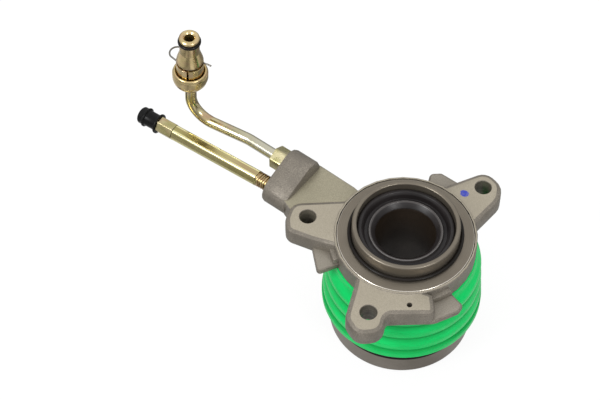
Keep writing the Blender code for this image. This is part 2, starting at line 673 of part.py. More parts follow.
def build_bearing():
    """Fixed inner race, turning outer race with the thrust face, caged balls and a shield."""
    play = BALL_R + 0.25
    span = math.acos(SHOULDER / play)
    turns = [-span + 2 * span * k / 4 for k in range(5)]
    groove = [(play * math.cos(t), BALL_Z + play * math.sin(t)) for t in turns]
    low, top = THRUST_T + 1.0, PLATE_FOOT - GAP
    turned("inner_race", [(RACE_BORE, top), (RACE_BORE, low), (GROOVE_IN, low)]
           + [(PITCH_R - r, z) for r, z in groove] + [(GROOVE_IN, top)], MID_COUNT, BRIGHT, unit)
    turned("outer_race", [
        (GROOVE_OUT, RACE_H), (RACE_R - 0.5, RACE_H), (RACE_R, RACE_H - 0.5), (RACE_R, 1.5),
        (RACE_R - 0.5, 0.4), (RACE_R - 1.3, 0.0), (THRUST_IN + 0.8, 0.0), (THRUST_IN, 0.8),
        (THRUST_IN, THRUST_T), (GROOVE_OUT, THRUST_T)] + [(PITCH_R + r, z) for r, z in groove],
        BIG_COUNT, STEEL, unit)
    cage = turned("ball_cage", [
        (PITCH_R - 1.2, BALL_Z - CAGE_HALF), (PITCH_R + 1.2, BALL_Z - CAGE_HALF),
        (PITCH_R + 1.2, BALL_Z + CAGE_HALF), (PITCH_R - 1.2, BALL_Z + CAGE_HALF)],
        2 * BALLS, parent=unit)
    cuts = []
    for k in range(BALLS):
        way = polar(360.0 * (k + 0.5) / BALLS, 1.0)
        mid = Vector((0.0, 0.0, BALL_Z))
        cuts.append(drill("pocket_%02d" % k, way * (PITCH_R - 4) + mid, way * (PITCH_R + 4) + mid,
                          BALL_R + 0.5, 10))
    combine(cage, cuts, 'DIFFERENCE')
    dress(cage, NYLON)
    bm = bmesh.new()
    bmesh.ops.create_icosphere(bm, subdivisions=2, radius=BALL_R)
    bmesh.ops.translate(bm, verts=bm.verts, vec=(PITCH_R, 0.0, BALL_Z))
    ball_mesh = to_mesh(bm, "ball")
    for k in range(BALLS):
        ball = add_object("ball_%02d" % (k + 1), ball_mesh.copy(), unit, BRIGHT)
        ball.rotation_euler.z = 2 * math.pi * (k + 0.5) / BALLS
    inner, outer, top = GROOVE_IN + 0.9, RACE_R - 1.5, SHIELD_Z + SHIELD_T
    turned("bearing_shield", [(inner, SHIELD_Z), (outer, SHIELD_Z), (outer, top), (inner, top)],
           MID_COUNT, STEEL, unit)


def build_pipe():
    """Pressure pipe with its flared end and nut in the port; returns the axis of the riser."""
    start = port_mouth - port_dir * (PORT_BORE - 0.5)
    knee = polar(PORT_ANGLE, FIRST_BEND, below(PORT_DEPTH))
    run_dir = polar(RUN_ANGLE, 1.0)
    corner = knee + run_dir * RUN
    lean = math.radians(RISER_LEAN)
    riser_dir = Vector((0, 0, 1)) * math.cos(lean) - run_dir * math.sin(lean)
    end = corner + riser_dir * (CUP_FOOT + 6.5)
    flare = [start + port_dir * s for s in (0.0, 0.8, 2.0, 3.2)]
    path = flare + bent([flare[-1], knee, corner, end], [30.0, BEND_R], 11.25)[1:]
    radii = [PIPE_R + 0.45, PORT_R - 0.8, PORT_R - 0.8] + [PIPE_R] * (len(path) - 3)
    along(path, radii, "pressure_pipe", PLATED, unit, 10, PIPE_WALL)
    bore, thread = PIPE_R + GAP, PORT_R - GAP
    across = NUT_AF / 2
    seat = 1.9
    top = seat + NUT_H
    turned("tube_nut", [
        (thread, -8.6), (thread, GAP), (across + 0.5, GAP), (across + 0.5, seat),
        (across, seat + 0.01), (across, top), (bore, top), (bore, -8.6)], HEX_COUNT, PLATED, port_axis,
        hexagon=(seat + 0.005, top, NUT_AF))
    return add_axis("riser_axis", aimed(corner, riser_dir, (0.0, 1.0, 0.0)), unit)


def build_connector(riser_axis):
    """Quick connector: cup, split sleeve, clip groove, cone, sealing ring and nose."""
    bore, socket = 2.4, PIPE_R + GAP
    inner = CUP_R - CUP_WALL
    stop = CUP_FOOT + 7.0
    seat = NOSE_R - 1.0
    neck = NOSE_R - 0.15
    groove = NOSE - NOSE_H
    turned("pipe_connector", [
        (socket + SOCKET_WALL, CUP_FOOT), (CUP_R - 2.2, CUP_FOOT + 1.5), (CUP_R - 0.6, CUP_FOOT + 4.0),
        (CUP_R, CUP_FOOT + 6.4), (CUP_R, CUP_LIP - 2.0), (CUP_R - 0.7, CUP_LIP - 0.4),
        (CUP_R - 1.3, CUP_LIP), (inner, CUP_LIP - 0.4), (inner, CUP_FLOOR), (WAIST_R, CUP_FLOOR),
        (WAIST_R, CONE_Z), (CONE_R, CONE_Z + 0.4), (CONE_R - 0.25, CONE_Z + 1.8),
        (neck, CONE_Z + CONE_H), (neck, groove - SEAT_H), (seat, groove - SEAT_H + 0.1),
        (seat, groove - 0.1), (NOSE_R, groove), (NOSE_R, NOSE - 0.7), (NOSE_R - 0.8, NOSE),
        (bore + 0.9, NOSE), (bore, NOSE - 0.9), (bore, stop), (socket, stop), (socket, CUP_FOOT)],
        SMALL_COUNT, PLATED, riser_axis)
    turned("connector_oring", round_section(seat + 0.95, groove - SEAT_H / 2, 0.85, 6, 1.3),
           SMALL_COUNT, BLACK, riser_axis)
    low, high = CUP_FLOOR + GAP, SLEEVE_TOP
    outer, hug = inner - GAP, WAIST_R + GAP
    slit = math.radians(8.0)
    start = math.radians(-94.0)
    bm = bmesh.new()
    corners = [(hug, low), (outer, low), (outer, high), (hug, high)]
    section = [bm.verts.new((r * math.cos(start), r * math.sin(start), z)) for r, z in corners]
    face = bm.faces.new(section)
    bmesh.ops.spin(bm, geom=[face], cent=(0, 0, 0), axis=(0, 0, 1), angle=2 * math.pi - slit,
                   steps=SMALL_COUNT)
    add_object("connector_sleeve", to_mesh(bm, "connector_sleeve"), riser_axis, PLATED)
    build_clip(riser_axis, WAIST_R + CLIP_R + 0.2, CONE_Z - CLIP_SLOT / 2)


def build_clip(riser_axis, hold, z):
    """Spring wire clip: a tail, a hug behind the waist, a straight leg, a loop and a front leg."""
    leave = 62.0
    loop_r = 4.1
    back = polar(leave, hold) - polar(leave - 90.0, 8.0)
    centre = back - polar(leave, loop_r)
    path = [Vector((x, y, 0.0)) for x, y in ((10.7, -2.9), (9.0, -1.95), (7.3, -1.25), (6.3, -0.7))]
    path += [polar(leave * k / 5, hold) for k in range(6)]
    path.append(back)
    path += [centre + polar(leave + 150.0 * k / 7, loop_r) for k in range(1, 8)]
    path += [polar(190.0 + 125.0 * k / 8, hold) for k in range(9)]
    path = [Vector((p.x, p.y, z)) for p in path]
    along(path, [CLIP_R] * len(path), "retaining_clip", BRIGHT, riser_axis, 6)


def build_bleeder():
    """Bleeder: threaded root, hexagon bar, bleed screw and rubber cap."""
    socket, channel = 3.3, 1.6
    deep = 11.0
    hex_start = BAR_START + 0.4
    bar = turned("bleed_pipe", [
        (THREAD_R - 1.2, -9.4), (THREAD_R, -8.2), (THREAD_R, BAR_START - 1.0),
        (THREAD_R - 0.6, BAR_START - 0.6), (THREAD_R - 0.3, BAR_START), (BAR_AF / 2, hex_start),
        (BAR_AF / 2, BAR_END), (socket, BAR_END), (socket, BAR_END - deep), (channel, BAR_END - deep),
        (channel, -9.4)], HEX_COUNT, PLATED, bleeder_axis, hexagon=(hex_start, BAR_END, BAR_AF))
    bar.rotation_euler.z = math.radians(BAR_TURN)
    head = BAR_END + GAP
    tip = head + SCREW_HEX
    stem = socket - GAP
    nipple = 2.5
    screw = turned("bleed_screw", [
        (1.0, BAR_END - deep + 1.0), (stem - 0.8, BAR_END - deep + 1.0), (stem, BAR_END - deep + 2.4),
        (stem, head), (BAR_AF / 2, head), (BAR_AF / 2, tip), (nipple, tip), (nipple, tip + 5.2),
        (nipple + 0.6, tip + 6.6), (nipple - 0.4, tip + 9.4), (1.0, tip + 9.4)],
        HEX_COUNT, PLATED, bleeder_axis, hexagon=(head, tip, BAR_AF))
    screw.rotation_euler.z = math.radians(34.0)
    foot = tip + GAP
    end = foot + CAP_LENGTH
    room = nipple + 0.6 + GAP
    turned("bleed_cap", [
        (0.0, end), (3.9, end), (4.6, end - 0.8), (4.6, end - 3.2), (5.25, end - 3.5),
        (5.25, end - 4.3), (4.3, end - 4.7), (4.3, foot + 1.4), (5.45, foot + 1.0), (5.45, foot),
        (room, foot), (room, tip + 8.2), (nipple, tip + 10.0), (0.0, tip + 10.0)],
        SMALL_COUNT, BLACK, bleeder_axis, ring=False)


build_housing()
build_seal_carrier()
build_guide_tube()
build_piston()
build_spring()
build_boot()
build_bearing()
riser_axis = build_pipe()
build_connector(riser_axis)
build_bleeder()

# Move the assembly so that the middle of its footprint is the origin
graph = bpy.context.evaluated_depsgraph_get()
points = []
for obj in bpy.context.scene.objects:
    if obj.type != 'EMPTY':
        shape = obj.evaluated_get(graph)
        points += [obj.matrix_world @ v.co for v in shape.to_mesh().vertices]
        shape.to_mesh_clear()
for i in range(2):
    values = [p[i] for p in points]
    unit.location[i] = -(min(values) + max(values)) / 2
unit.location.z = -min(p.z for p in points)
bpy.context.view_layer.update()
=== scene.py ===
# %% [markdown]
# # A concentric clutch slave cylinder
#
# This ring-shaped hydraulic cylinder sits round a gearbox's input shaft. Fluid from the pipe pushes a
# ring piston, and the release bearing at the foot of the unit presses on the clutch. The solids come
# from the CAD model, in metres. This lesson gives each piece the surface that the eye expects: sand
# cast aluminium, turned steel, yellow zinc plating, glossy green rubber.

# %% Load the frame
import json
import math

import bmesh
import bpy
from mathutils import Matrix, Vector


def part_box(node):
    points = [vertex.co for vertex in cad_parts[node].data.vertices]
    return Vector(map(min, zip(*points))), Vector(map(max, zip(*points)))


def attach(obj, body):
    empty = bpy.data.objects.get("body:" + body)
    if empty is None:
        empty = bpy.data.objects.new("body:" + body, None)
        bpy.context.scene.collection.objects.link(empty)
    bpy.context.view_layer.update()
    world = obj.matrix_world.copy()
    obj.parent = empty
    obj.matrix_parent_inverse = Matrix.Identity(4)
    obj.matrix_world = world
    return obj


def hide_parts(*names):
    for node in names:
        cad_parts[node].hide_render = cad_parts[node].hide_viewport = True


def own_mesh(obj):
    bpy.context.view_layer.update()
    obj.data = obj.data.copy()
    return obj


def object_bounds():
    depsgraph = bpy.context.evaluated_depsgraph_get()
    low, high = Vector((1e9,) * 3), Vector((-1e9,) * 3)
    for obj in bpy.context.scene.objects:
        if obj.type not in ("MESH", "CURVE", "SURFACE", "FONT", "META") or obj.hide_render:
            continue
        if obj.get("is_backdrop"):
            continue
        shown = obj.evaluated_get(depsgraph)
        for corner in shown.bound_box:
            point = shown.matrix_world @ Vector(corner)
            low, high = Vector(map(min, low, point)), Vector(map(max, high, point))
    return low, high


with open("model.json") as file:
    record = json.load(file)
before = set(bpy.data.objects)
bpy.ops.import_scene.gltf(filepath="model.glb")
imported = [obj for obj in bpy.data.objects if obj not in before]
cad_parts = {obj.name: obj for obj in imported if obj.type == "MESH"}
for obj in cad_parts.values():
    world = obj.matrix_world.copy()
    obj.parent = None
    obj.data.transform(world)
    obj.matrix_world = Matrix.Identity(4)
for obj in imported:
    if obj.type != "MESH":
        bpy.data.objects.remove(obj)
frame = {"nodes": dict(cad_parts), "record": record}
nodes, record = frame["nodes"], frame["record"]
scene = bpy.context.scene
cad_low, cad_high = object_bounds()
print("nodes:", len(nodes), "box in mm:", [round(v * 1000, 1) for v in cad_high - cad_low])

# %% [markdown]
# ## Where things are
#
# Most pieces are turned about one vertical axis. The thrust ring of the bearing is the truest circle
# of all, so the middle of its box gives that axis. The pipe's connector and the bleeder have axes of
# their own. A turned piece has its vertices in rings, and the mean of a ring lies on the axis, so two
# turned pieces on one axis are enough to find it. The bleed screw's joint gives the bleeder's axis.

# %% Axes of the unit
MM = 0.001
low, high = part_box("outer_race")
AXIS = Vector(((low[0] + high[0]) / 2, (low[1] + high[1]) / 2, 0.0))
FLANGE_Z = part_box("spigot_oring")[0][2] - 0.1 * MM


def merged(node):
    """Copy of a node's loose triangles as one bmesh."""
    bm = bmesh.new()
    bm.from_mesh(nodes[node].data)
    bmesh.ops.remove_doubles(bm, verts=bm.verts, dist=2e-6)
    return bm


def ring_centre(node):
    """Mean of the vertices, which lies on the axis of a turned piece."""
    bm = merged(node)
    middle = sum((v.co for v in bm.verts), Vector()) / len(bm.verts)
    bm.free()
    return middle


def points(node, place=Matrix()):
    """Vertices of a node, in the frame of a placing."""
    inside = place.inverted()
    return [inside @ v.co for v in nodes[node].data.vertices]


def placing(origin, direction, side=(0.0, 0.0, 1.0)):
    """Matrix whose Z runs along direction, with its Y as close to side as it can be."""
    z = Vector(direction).normalized()
    y = (Vector(side) - z * z.dot(Vector(side))).normalized()
    turn = Matrix((y.cross(z), y, z)).transposed().to_4x4()
    return Matrix.Translation(Vector(origin)) @ turn


joints = {j["name"]: j for j in record["behaviour"]["joints"]}
UNIT = Matrix.Translation(AXIS)
BLEEDER = placing(joints["bleed_screw_turn"]["pos_m"], joints["bleed_screw_turn"]["axis"])
nut = ring_centre("tube_nut")
port_dir = Vector((nut.x - AXIS.x, nut.y - AXIS.y, 0.0)).normalized()
foot, tip = ring_centre("pipe_connector"), ring_centre("connector_oring")
riser_dir = (tip - foot).normalized()
corner = foot - riser_dir * ((foot.z - nut.z) / riser_dir.z)
RISER = placing(corner, riser_dir, (0.0, 1.0, 0.0))
PORT = placing(nut, port_dir)
print("axis in mm:", [round(v * 1000, 2) for v in AXIS], "flange at", round(FLANGE_Z * 1000, 2))
print("riser starts at", [round(v * 1000, 2) for v in corner])

# %% [markdown]
# ## Turning a piece again
#
# The CAD solids have 18 to 32 facets round, which is enough to measure and too few to look round.
# A lathe part is fully told by its section, so the section is read from the solid, its sharp corners
# get the small radius that a turning tool leaves, and it is spun again with many more steps. Reading
# the section keeps every radius and height where the CAD model has it.

# %% Read a section and spin it


def section(node, place):
    """Profile of (radius, height) that a turned node was spun from, and whether it is a closed loop.

    A profile that isn't a loop belongs to a piece without a bore, so both its ends reach the axis.
    """
    bm = merged(node)
    bm.transform(place.inverted())
    start = max(bm.verts, key=lambda v: math.hypot(v.co.x, v.co.y))
    level = Matrix.Rotation(-math.atan2(start.co.y, start.co.x), 4, 'Z')
    flat = {}
    for v in bm.verts:
        p = level @ v.co
        if p.x > -1e-6 and abs(p.y) < 1e-5 + 0.002 * abs(p.x):
            flat[v] = (p.x, p.z)

    def beside(v, taken):
        return [w for w in (e.other_vert(v) for e in v.link_edges) if w in flat and w not in taken]

    line = [start]
    while beside(line[-1], line):
        line.append(beside(line[-1], line)[0])
    closed = start in beside(line[-1], line[1:])
    while not closed and beside(line[0], line):
        line.insert(0, beside(line[0], line)[0])
    profile = [flat[v] for v in line]
    if not closed:
        profile = [(0.0, profile[0][1])] + profile + [(0.0, profile[-1][1])]
    bm.free()
    return profile, closed


def eased(loop, radius, closed=True, arc=3):
    """The loop with its corners rounded to a radius, or less where its sides are short."""
    out = []
    count = len(loop)
    for i, (x, y) in enumerate(loop):
        if not closed and i in (0, count - 1):
            out.append((x, y))
            continue
        p = Vector((x, y))
        a = Vector(loop[i - 1]) - p
        b = Vector(loop[(i + 1) % count]) - p
        cut = min(radius, 0.45 * a.length, 0.45 * b.length)
        bend = math.pi - a.angle(b)
        if bend < math.radians(14.0) or cut < 1e-6:
            out.append((x, y))
            continue
        start, end = p + a.normalized() * cut, p + b.normalized() * cut
        for k in range(arc + 1):
            t = k / arc
            q = start * (1 - t) ** 2 + p * 2 * t * (1 - t) + end * t ** 2
            out.append((q.x, q.y))
    return out


def spun(name, loop, place, steps=144, closed=True, sharp=38.0):
    """Mesh object spun from a loop of (radius, height) about the Z of a placing."""
    bm = bmesh.new()
    verts = [bm.verts.new((r, 0.0, z)) for r, z in loop]
    ends = verts[1:] + verts[:1] if closed else verts[1:]
    edges = [bm.edges.new(pair) for pair in zip(verts, ends)]
    bmesh.ops.spin(bm, geom=verts + edges, cent=(0, 0, 0), axis=(0, 0, 1), angle=2 * math.pi,
                   steps=steps, use_merge=True)
    bmesh.ops.remove_doubles(bm, verts=bm.verts, dist=1e-6)
    bmesh.ops.recalc_face_normals(bm, faces=bm.faces)
    bm.transform(place)
    return stored(name, bm, sharp)


def linked(name, data):
    """New object in the scene."""
    obj = bpy.data.objects.new(name, data)
    scene.collection.objects.link(obj)
    return obj


def stored(name, bm, sharp=38.0):
    """Object from a bmesh, shaded smooth except along sharp edges."""
    mesh = bpy.data.meshes.new(name)
    bm.to_mesh(mesh)
    bm.free()
    mesh.shade_smooth()
    mesh.set_sharp_from_angle(angle=math.radians(sharp))
    return linked(name, mesh)


body_of_node = {n: body for body, names in record["behaviour"]["bodies"].items() for n in names}


def stands_for(obj, mats, *names):
    """The object takes its material or materials, replaces these nodes and moves with their body."""
    mats = mats if isinstance(mats, tuple) else (mats,)
    for k, mat in enumerate(mats):
        if k < len(obj.data.materials):
            obj.data.materials[k] = mat
        else:
            obj.data.materials.append(mat)
    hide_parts(*names)
    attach(obj, body_of_node[names[0]])
    print(obj.name, "stands for", len(names), "node(s),", len(obj.data.polygons), "faces")
    return obj


def turned_again(node, mat, place, radius, steps=144, sharp=38.0, arc=3):
    """Spin a node's own section again, with eased corners, and let it stand for the node."""
    profile, closed = section(node, place)
    obj = spun(node + "_turned", eased(profile, radius * MM, closed, arc), place, steps, closed, sharp)
    return stands_for(obj, mat, node)


print("section of the thrust ring:", len(section("outer_race", UNIT)[0]), "points")

# %% [markdown]
# ## Materials from layers of noise
#
# A real surface differs from place to place at several scales. Each material below mixes colours with
# a broad noise, varies its roughness with another, and gives the shader a bump from a fine one. All
# patterns are read in Object coordinates, in metres, so a scale of 2500 means grains of about 0.4 mm.

# %% Node helpers


def node_material(name, colour, roughness, metallic):
    """Material with its Principled shader; returns (material, nodes, links, shader)."""
    mat = bpy.data.materials.new(name)
    mat.use_nodes = True
    tree = mat.node_tree
    shader = tree.nodes["Principled BSDF"]
    shader.inputs["Base Color"].default_value = (*colour, 1.0)
    shader.inputs["Roughness"].default_value = roughness
    shader.inputs["Metallic"].default_value = metallic
    return mat, tree.nodes, tree.links, shader


def object_point(n, l, place):
    """Object coordinates moved into the frame of a piece's axis."""
    where = n.new("ShaderNodeTexCoord")
    shift = n.new("ShaderNodeMapping")
    back = place.inverted()
    shift.inputs["Location"].default_value = back.translation
    shift.inputs["Rotation"].default_value = back.to_euler()
    l.new(where.outputs["Object"], shift.inputs["Vector"])
    return shift.outputs["Vector"]


def noise(n, l, vector, scale, detail=3.0, stretch=None):
    """Noise texture's value; stretch scales the axes apart, which draws the pattern out."""
    if stretch:
        pull = n.new("ShaderNodeMapping")
        pull.inputs["Scale"].default_value = stretch
        l.new(vector, pull.inputs["Vector"])
        vector = pull.outputs["Vector"]
    tex = n.new("ShaderNodeTexNoise")
    tex.inputs["Scale"].default_value = scale
    tex.inputs["Detail"].default_value = detail
    l.new(vector, tex.inputs["Vector"])
    return tex.outputs["Fac"]


def spread(n, l, value, low, high, to_low=0.0, to_high=1.0):
    """Stretch the range low to high of a value on to another range."""
    ranger = n.new("ShaderNodeMapRange")
    ranger.inputs["From Min"].default_value = low
    ranger.inputs["From Max"].default_value = high
    ranger.inputs["To Min"].default_value = to_low
    ranger.inputs["To Max"].default_value = to_high
    l.new(value, ranger.inputs["Value"])
    return ranger.outputs["Result"]


def mixed(n, l, factor, first, second, kind='RGBA'):
    """Mix two colours, or as FLOAT two values, each a constant or a socket, by a factor socket."""
    mix = n.new("ShaderNodeMix")
    mix.data_type = kind
    l.new(factor, mix.inputs[0])
    first_in, out = (6, 2) if kind == 'RGBA' else (2, 0)
    for index, value in ((first_in, first), (first_in + 1, second)):
        if isinstance(value, bpy.types.NodeSocket):
            l.new(value, mix.inputs[index])
        else:
            mix.inputs[index].default_value = (*value, 1.0) if kind == 'RGBA' else value
    return mix.outputs[out]


def vector_maths(n, l, operation, vector, other=(0.0, 0.0, 0.0)):
    """Outputs of a vector operation on a socket and a fixed vector."""
    step = n.new("ShaderNodeVectorMath")
    step.operation = operation
    step.inputs[1].default_value = other
    l.new(vector, step.inputs[0])
    return step.outputs


def axis_distance(n, l, vector):
    """Distance from the Z axis of the frame that vector is in."""
    flat = vector_maths(n, l, 'MULTIPLY', vector, (1.0, 1.0, 0.0))["Vector"]
    return vector_maths(n, l, 'LENGTH', flat)["Value"]


def height_of(n, l, vector):
    """Third coordinate of a vector."""
    split = n.new("ShaderNodeSeparateXYZ")
    l.new(vector, split.inputs["Vector"])
    return split.outputs["Z"]


def maths(n, l, operation, first, second):
    """Sum, product or maximum of two values."""
    step = n.new("ShaderNodeMath")
    step.operation = operation
    l.new(first, step.inputs[0])
    l.new(second, step.inputs[1])
    return step.outputs["Value"]


def rings(n, l, vector, pitch):
    """Fine turning marks: a noise that depends on radius and height only."""
    reach = maths(n, l, 'ADD', axis_distance(n, l, vector), height_of(n, l, vector))
    tex = n.new("ShaderNodeTexNoise")
    tex.noise_dimensions = '1D'
    tex.inputs["Scale"].default_value = 1.0 / pitch
    tex.inputs["Detail"].default_value = 2.0
    l.new(reach, tex.inputs["W"])
    return tex.outputs["Fac"]


def bump(n, l, shader, layers):
    """Chain of bumps; each layer is (height socket, strength, depth in metres)."""
    normal = None
    for height, strength, depth in layers:
        step = n.new("ShaderNodeBump")
        step.inputs["Strength"].default_value = strength
        step.inputs["Distance"].default_value = depth
        l.new(height, step.inputs["Height"])
        if normal:
            l.new(normal, step.inputs["Normal"])
        normal = step.outputs["Normal"]
    l.new(normal, shader.inputs["Normal"])


# %% [markdown]
# ## Cast and machined aluminium
#
# The casting's skin from the mould is dull, grey brown and pitted. The lug faces and the web were
# milled, so they are lighter, warmer and smoother, and the walls of the bolt holes keep the drill's
# marks; those walls are also painted darker than the skin, as the shade inside the holes. It is one
# metal with five finishes, so one function makes them all. A dab of blue inspection paint marks one lug.

# %% Aluminium
PIT_SHADE = 0.74


def aluminium(name, dark, light, roughness, metallic, grain, pit, blotch=60.0, paint=None):
    """Aluminium with grain and pits, whose sizes are in mm; paint is given on to paint_dot."""
    mat, n, l, shader = node_material(name, light, roughness, metallic)
    point = object_point(n, l, UNIT)
    broad = spread(n, l, noise(n, l, point, blotch, 5.0), 0.38, 0.62)
    colour = mixed(n, l, broad, dark, light)
    fine = 1.0 / (grain * MM)
    speck = spread(n, l, noise(n, l, point, fine, 2.0), 0.35, 0.7)
    deeper = mixed(n, l, speck, tuple(c * PIT_SHADE for c in dark), colour)
    if paint:
        deeper = paint_dot(n, l, point, deeper, *paint)
    l.new(deeper, shader.inputs["Base Color"])
    rough = spread(n, l, noise(n, l, point, 400.0, 3.0), 0.3, 0.7, roughness - 0.07, roughness + 0.07)
    l.new(rough, shader.inputs["Roughness"])
    bump(n, l, shader, [(noise(n, l, point, fine, 3.0), 0.55, pit * MM),
                        (noise(n, l, point, 220.0, 2.0), 0.30, pit * 3 * MM)])
    return mat


def paint_dot(n, l, point, under, place, radius, tint):
    """A dab of inspection paint: a spot with an uneven rim, thin in places."""
    uneven = spread(n, l, noise(n, l, point, 420.0, 3.0), 0.3, 0.7, -0.35 * MM, 0.35 * MM)
    reach = maths(n, l, 'ADD', vector_maths(n, l, 'DISTANCE', point, place)["Value"], uneven)
    inside = spread(n, l, reach, radius - 0.25 * MM, radius + 0.15 * MM, 1.0, 0.0)
    thin = spread(n, l, noise(n, l, point, 900.0, 2.0), 0.25, 0.5, 0.55, 1.0)
    return mixed(n, l, maths(n, l, 'MULTIPLY', inside, thin), under, tint)


def refinished(mat, mask, colour, roughness):
    """Where the mask is 1 the material takes another colour and roughness."""
    n, l = mat.node_tree.nodes, mat.node_tree.links
    shader = n["Principled BSDF"]
    for name, value in (("Base Color", colour), ("Roughness", (roughness,) * 3)):
        before = shader.inputs[name].links[0].from_socket
        l.new(mixed(n, l, mask, before, value), shader.inputs[name])


def between(n, l, value, low, high, soft=0.2 * MM):
    """1 where the value lies between low and high, 0 outside, with soft ends."""
    up = spread(n, l, value, low - soft, low)
    down = spread(n, l, value, high, high + soft, 1.0, 0.0)
    return maths(n, l, 'MULTIPLY', up, down)


def ring_band(mat, place, low, high, colour, roughness, soft=0.2 * MM):
    """Refinish what lies between two distances from the axis of a turned piece."""
    n, l = mat.node_tree.nodes, mat.node_tree.links
    from_axis = axis_distance(n, l, object_point(n, l, place))
    refinished(mat, between(n, l, from_axis, low, high, soft), colour, roughness)


DOT = ((30.6 * MM, 25.4 * MM, FLANGE_Z - 0.3 * MM), 2.15 * MM, (0.040, 0.060, 0.420))
FINISHES = tuple(aluminium(*row) for row in (
    # name, dark, light, roughness, metallic, grain, pit, scale of the blotches, paint
    ("cast_skin", (0.206, 0.183, 0.150), (0.286, 0.254, 0.210), 0.47, 0.45, 0.50, 0.28, 95.0),
    ("milled_face", (0.395, 0.352, 0.272), (0.435, 0.390, 0.306), 0.42, 0.40, 0.30, 0.03, 45.0, DOT),
    ("web_face", (0.335, 0.305, 0.215), (0.380, 0.346, 0.250), 0.45, 0.40, 0.35, 0.06, 45.0),
    ("tab_face", (0.290, 0.262, 0.215), (0.345, 0.312, 0.262), 0.48, 0.40, 0.45, 0.12),
    ("drilled_wall", (0.150, 0.134, 0.100), (0.230, 0.206, 0.160), 0.50, 0.25, 0.30, 0.03)))
cast_skin, milled_face, web_face, tab_face, drilled_wall = FINISHES
# The bolt holes' walls are painted darker than the cast skin, as the shade inside the holes; the streaks
# below are the drill's marks.
n, l = drilled_wall.node_tree.nodes, drilled_wall.node_tree.links
drill_marks = noise(n, l, object_point(n, l, UNIT), 900.0, 1.0, (0.02, 0.02, 1.0))
refinished(drilled_wall, spread(n, l, drill_marks, 0.42, 0.58, 0.0, 0.7), (0.090, 0.082, 0.060), 0.5)
print("aluminium:", [mat.name for mat in FINISHES])

# %% [markdown]
# ## Turned steel
#
# The disc, the spigot and the bearing's rings come off a lathe. The tool leaves marks far finer than
# a millimetre that run round the axis. They hardly show as lines, but they make the light run out
# A noise of the distance from the axis gives both the faint lines and the
# bump. Two bands are painted light: a pale band on the disc's chamfer is a painted highlight, and the
# top of the thrust ring is painted nearly black, as the shade in the gap under the boot.

# %% Turned and ground steel
MARK_PITCH, MARK_DEPTH = 0.35 * MM, 0.02 * MM
# Height of the painted shade band at the top of the thrust ring.
SHADE_BAND_UNDER_BOOT = 1.8 * MM
# Width of the painted highlight on the disc's chamfer.
PAINTED_HIGHLIGHT_EDGE = 0.45 * MM


def turned_metal(name, dark, light, roughness, metallic=1.0, place=UNIT):
    """Metal with fine marks round the axis of a placing, and broad stains."""
    mat, n, l, shader = node_material(name, light, roughness, metallic)
    point = object_point(n, l, place)
    marks = rings(n, l, point, MARK_PITCH)
    stains = noise(n, l, point, 70.0, 4.0)
    colour = mixed(n, l, spread(n, l, marks, 0.3, 0.7), dark, light)
    colour = mixed(n, l, spread(n, l, stains, 0.35, 0.75), colour, dark)
    l.new(colour, shader.inputs["Base Color"])
    rough = spread(n, l, stains, 0.3, 0.7, roughness - 0.06, roughness + 0.08)
    l.new(rough, shader.inputs["Roughness"])
    bump(n, l, shader, [(marks, 0.5, MARK_DEPTH), (noise(n, l, point, 1500.0, 2.0), 0.2, MARK_DEPTH)])
    return mat


STEELS = [turned_metal(*row) for row in (
    # name, dark, light, roughness, metallic, axis
    ("disc_steel", (0.174, 0.150, 0.118), (0.218, 0.192, 0.152), 0.34, 0.72),
    # Near-black steel for the bearing's carrier and shield: painted shade, as the shadow under the boot.
    ("carrier_steel", (0.022, 0.020, 0.018), (0.040, 0.037, 0.033), 0.45, 0.6),
    ("wire_steel", (0.20, 0.19, 0.17), (0.32, 0.30, 0.27), 0.34, 1.0, RISER),
    ("bright_steel", (0.42, 0.40, 0.37), (0.56, 0.54, 0.50), 0.28),
    ("bearing_steel", (0.205, 0.180, 0.152), (0.265, 0.238, 0.203), 0.38, 0.7),
    # Near-black steel for the guide tube: painted shade, as the shade deep inside its bore.
    ("bore_steel", (0.026, 0.017, 0.010), (0.050, 0.034, 0.022), 0.46, 0.4))]
disc_steel, carrier_steel, wire_steel, bright_steel, bearing_steel, bore_steel = STEELS

# The top of the thrust ring is painted nearly black: painted shade in the gap under the boot's lowest fold.
n, l = bearing_steel.node_tree.nodes, bearing_steel.node_tree.links
height = height_of(n, l, object_point(n, l, UNIT))
ring_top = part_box("outer_race")[1][2]
painted_shade_under_boot = between(n, l, height, ring_top - SHADE_BAND_UNDER_BOOT, ring_top + MM)
refinished(bearing_steel, painted_shade_under_boot, (0.008, 0.009, 0.008), 0.7)
# A pale, smooth band on the disc's chamfer is a painted highlight.
disc_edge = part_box("seal_carrier")[1][0] - AXIS.x
ring_band(disc_steel, UNIT, disc_edge - PAINTED_HIGHLIGHT_EDGE, disc_edge + MM, (0.66, 0.61, 0.54), 0.22, 0.1 * MM)
print("steel:", [mat.name for mat in STEELS])

# %% [markdown]
# ## Yellow zinc plating
#
# The pipe, the nut, the connector and the bleeder are steel with a thin zinc coat, passivated yellow.
# The film is thinner than the waves of light are long, so its tint drifts between straw, olive and a
# rosy brown. Two noises drawn out along the piece mix those tints over a smooth metal. Near the nut
# the pipe is almost silver. A pale band on the ridges of the bleeder's bar is a painted highlight, and
# the connector's bore is dull.

# %% Plating
STRAW, OLIVE, ROSE = (0.62, 0.54, 0.32), (0.42, 0.38, 0.17), (0.50, 0.34, 0.21)
PALE_ZINC = (0.60, 0.58, 0.48)
PALE_NEAR, PALE_FAR = 18.0 * MM, 48.0 * MM
# Radii between which the bar's ridges take a painted highlight.
BAR_HIGHLIGHT_FROM, BAR_OUTSIDE = 4.23 * MM, 8.0 * MM
CONNECTOR_BORE = 2.3 * MM


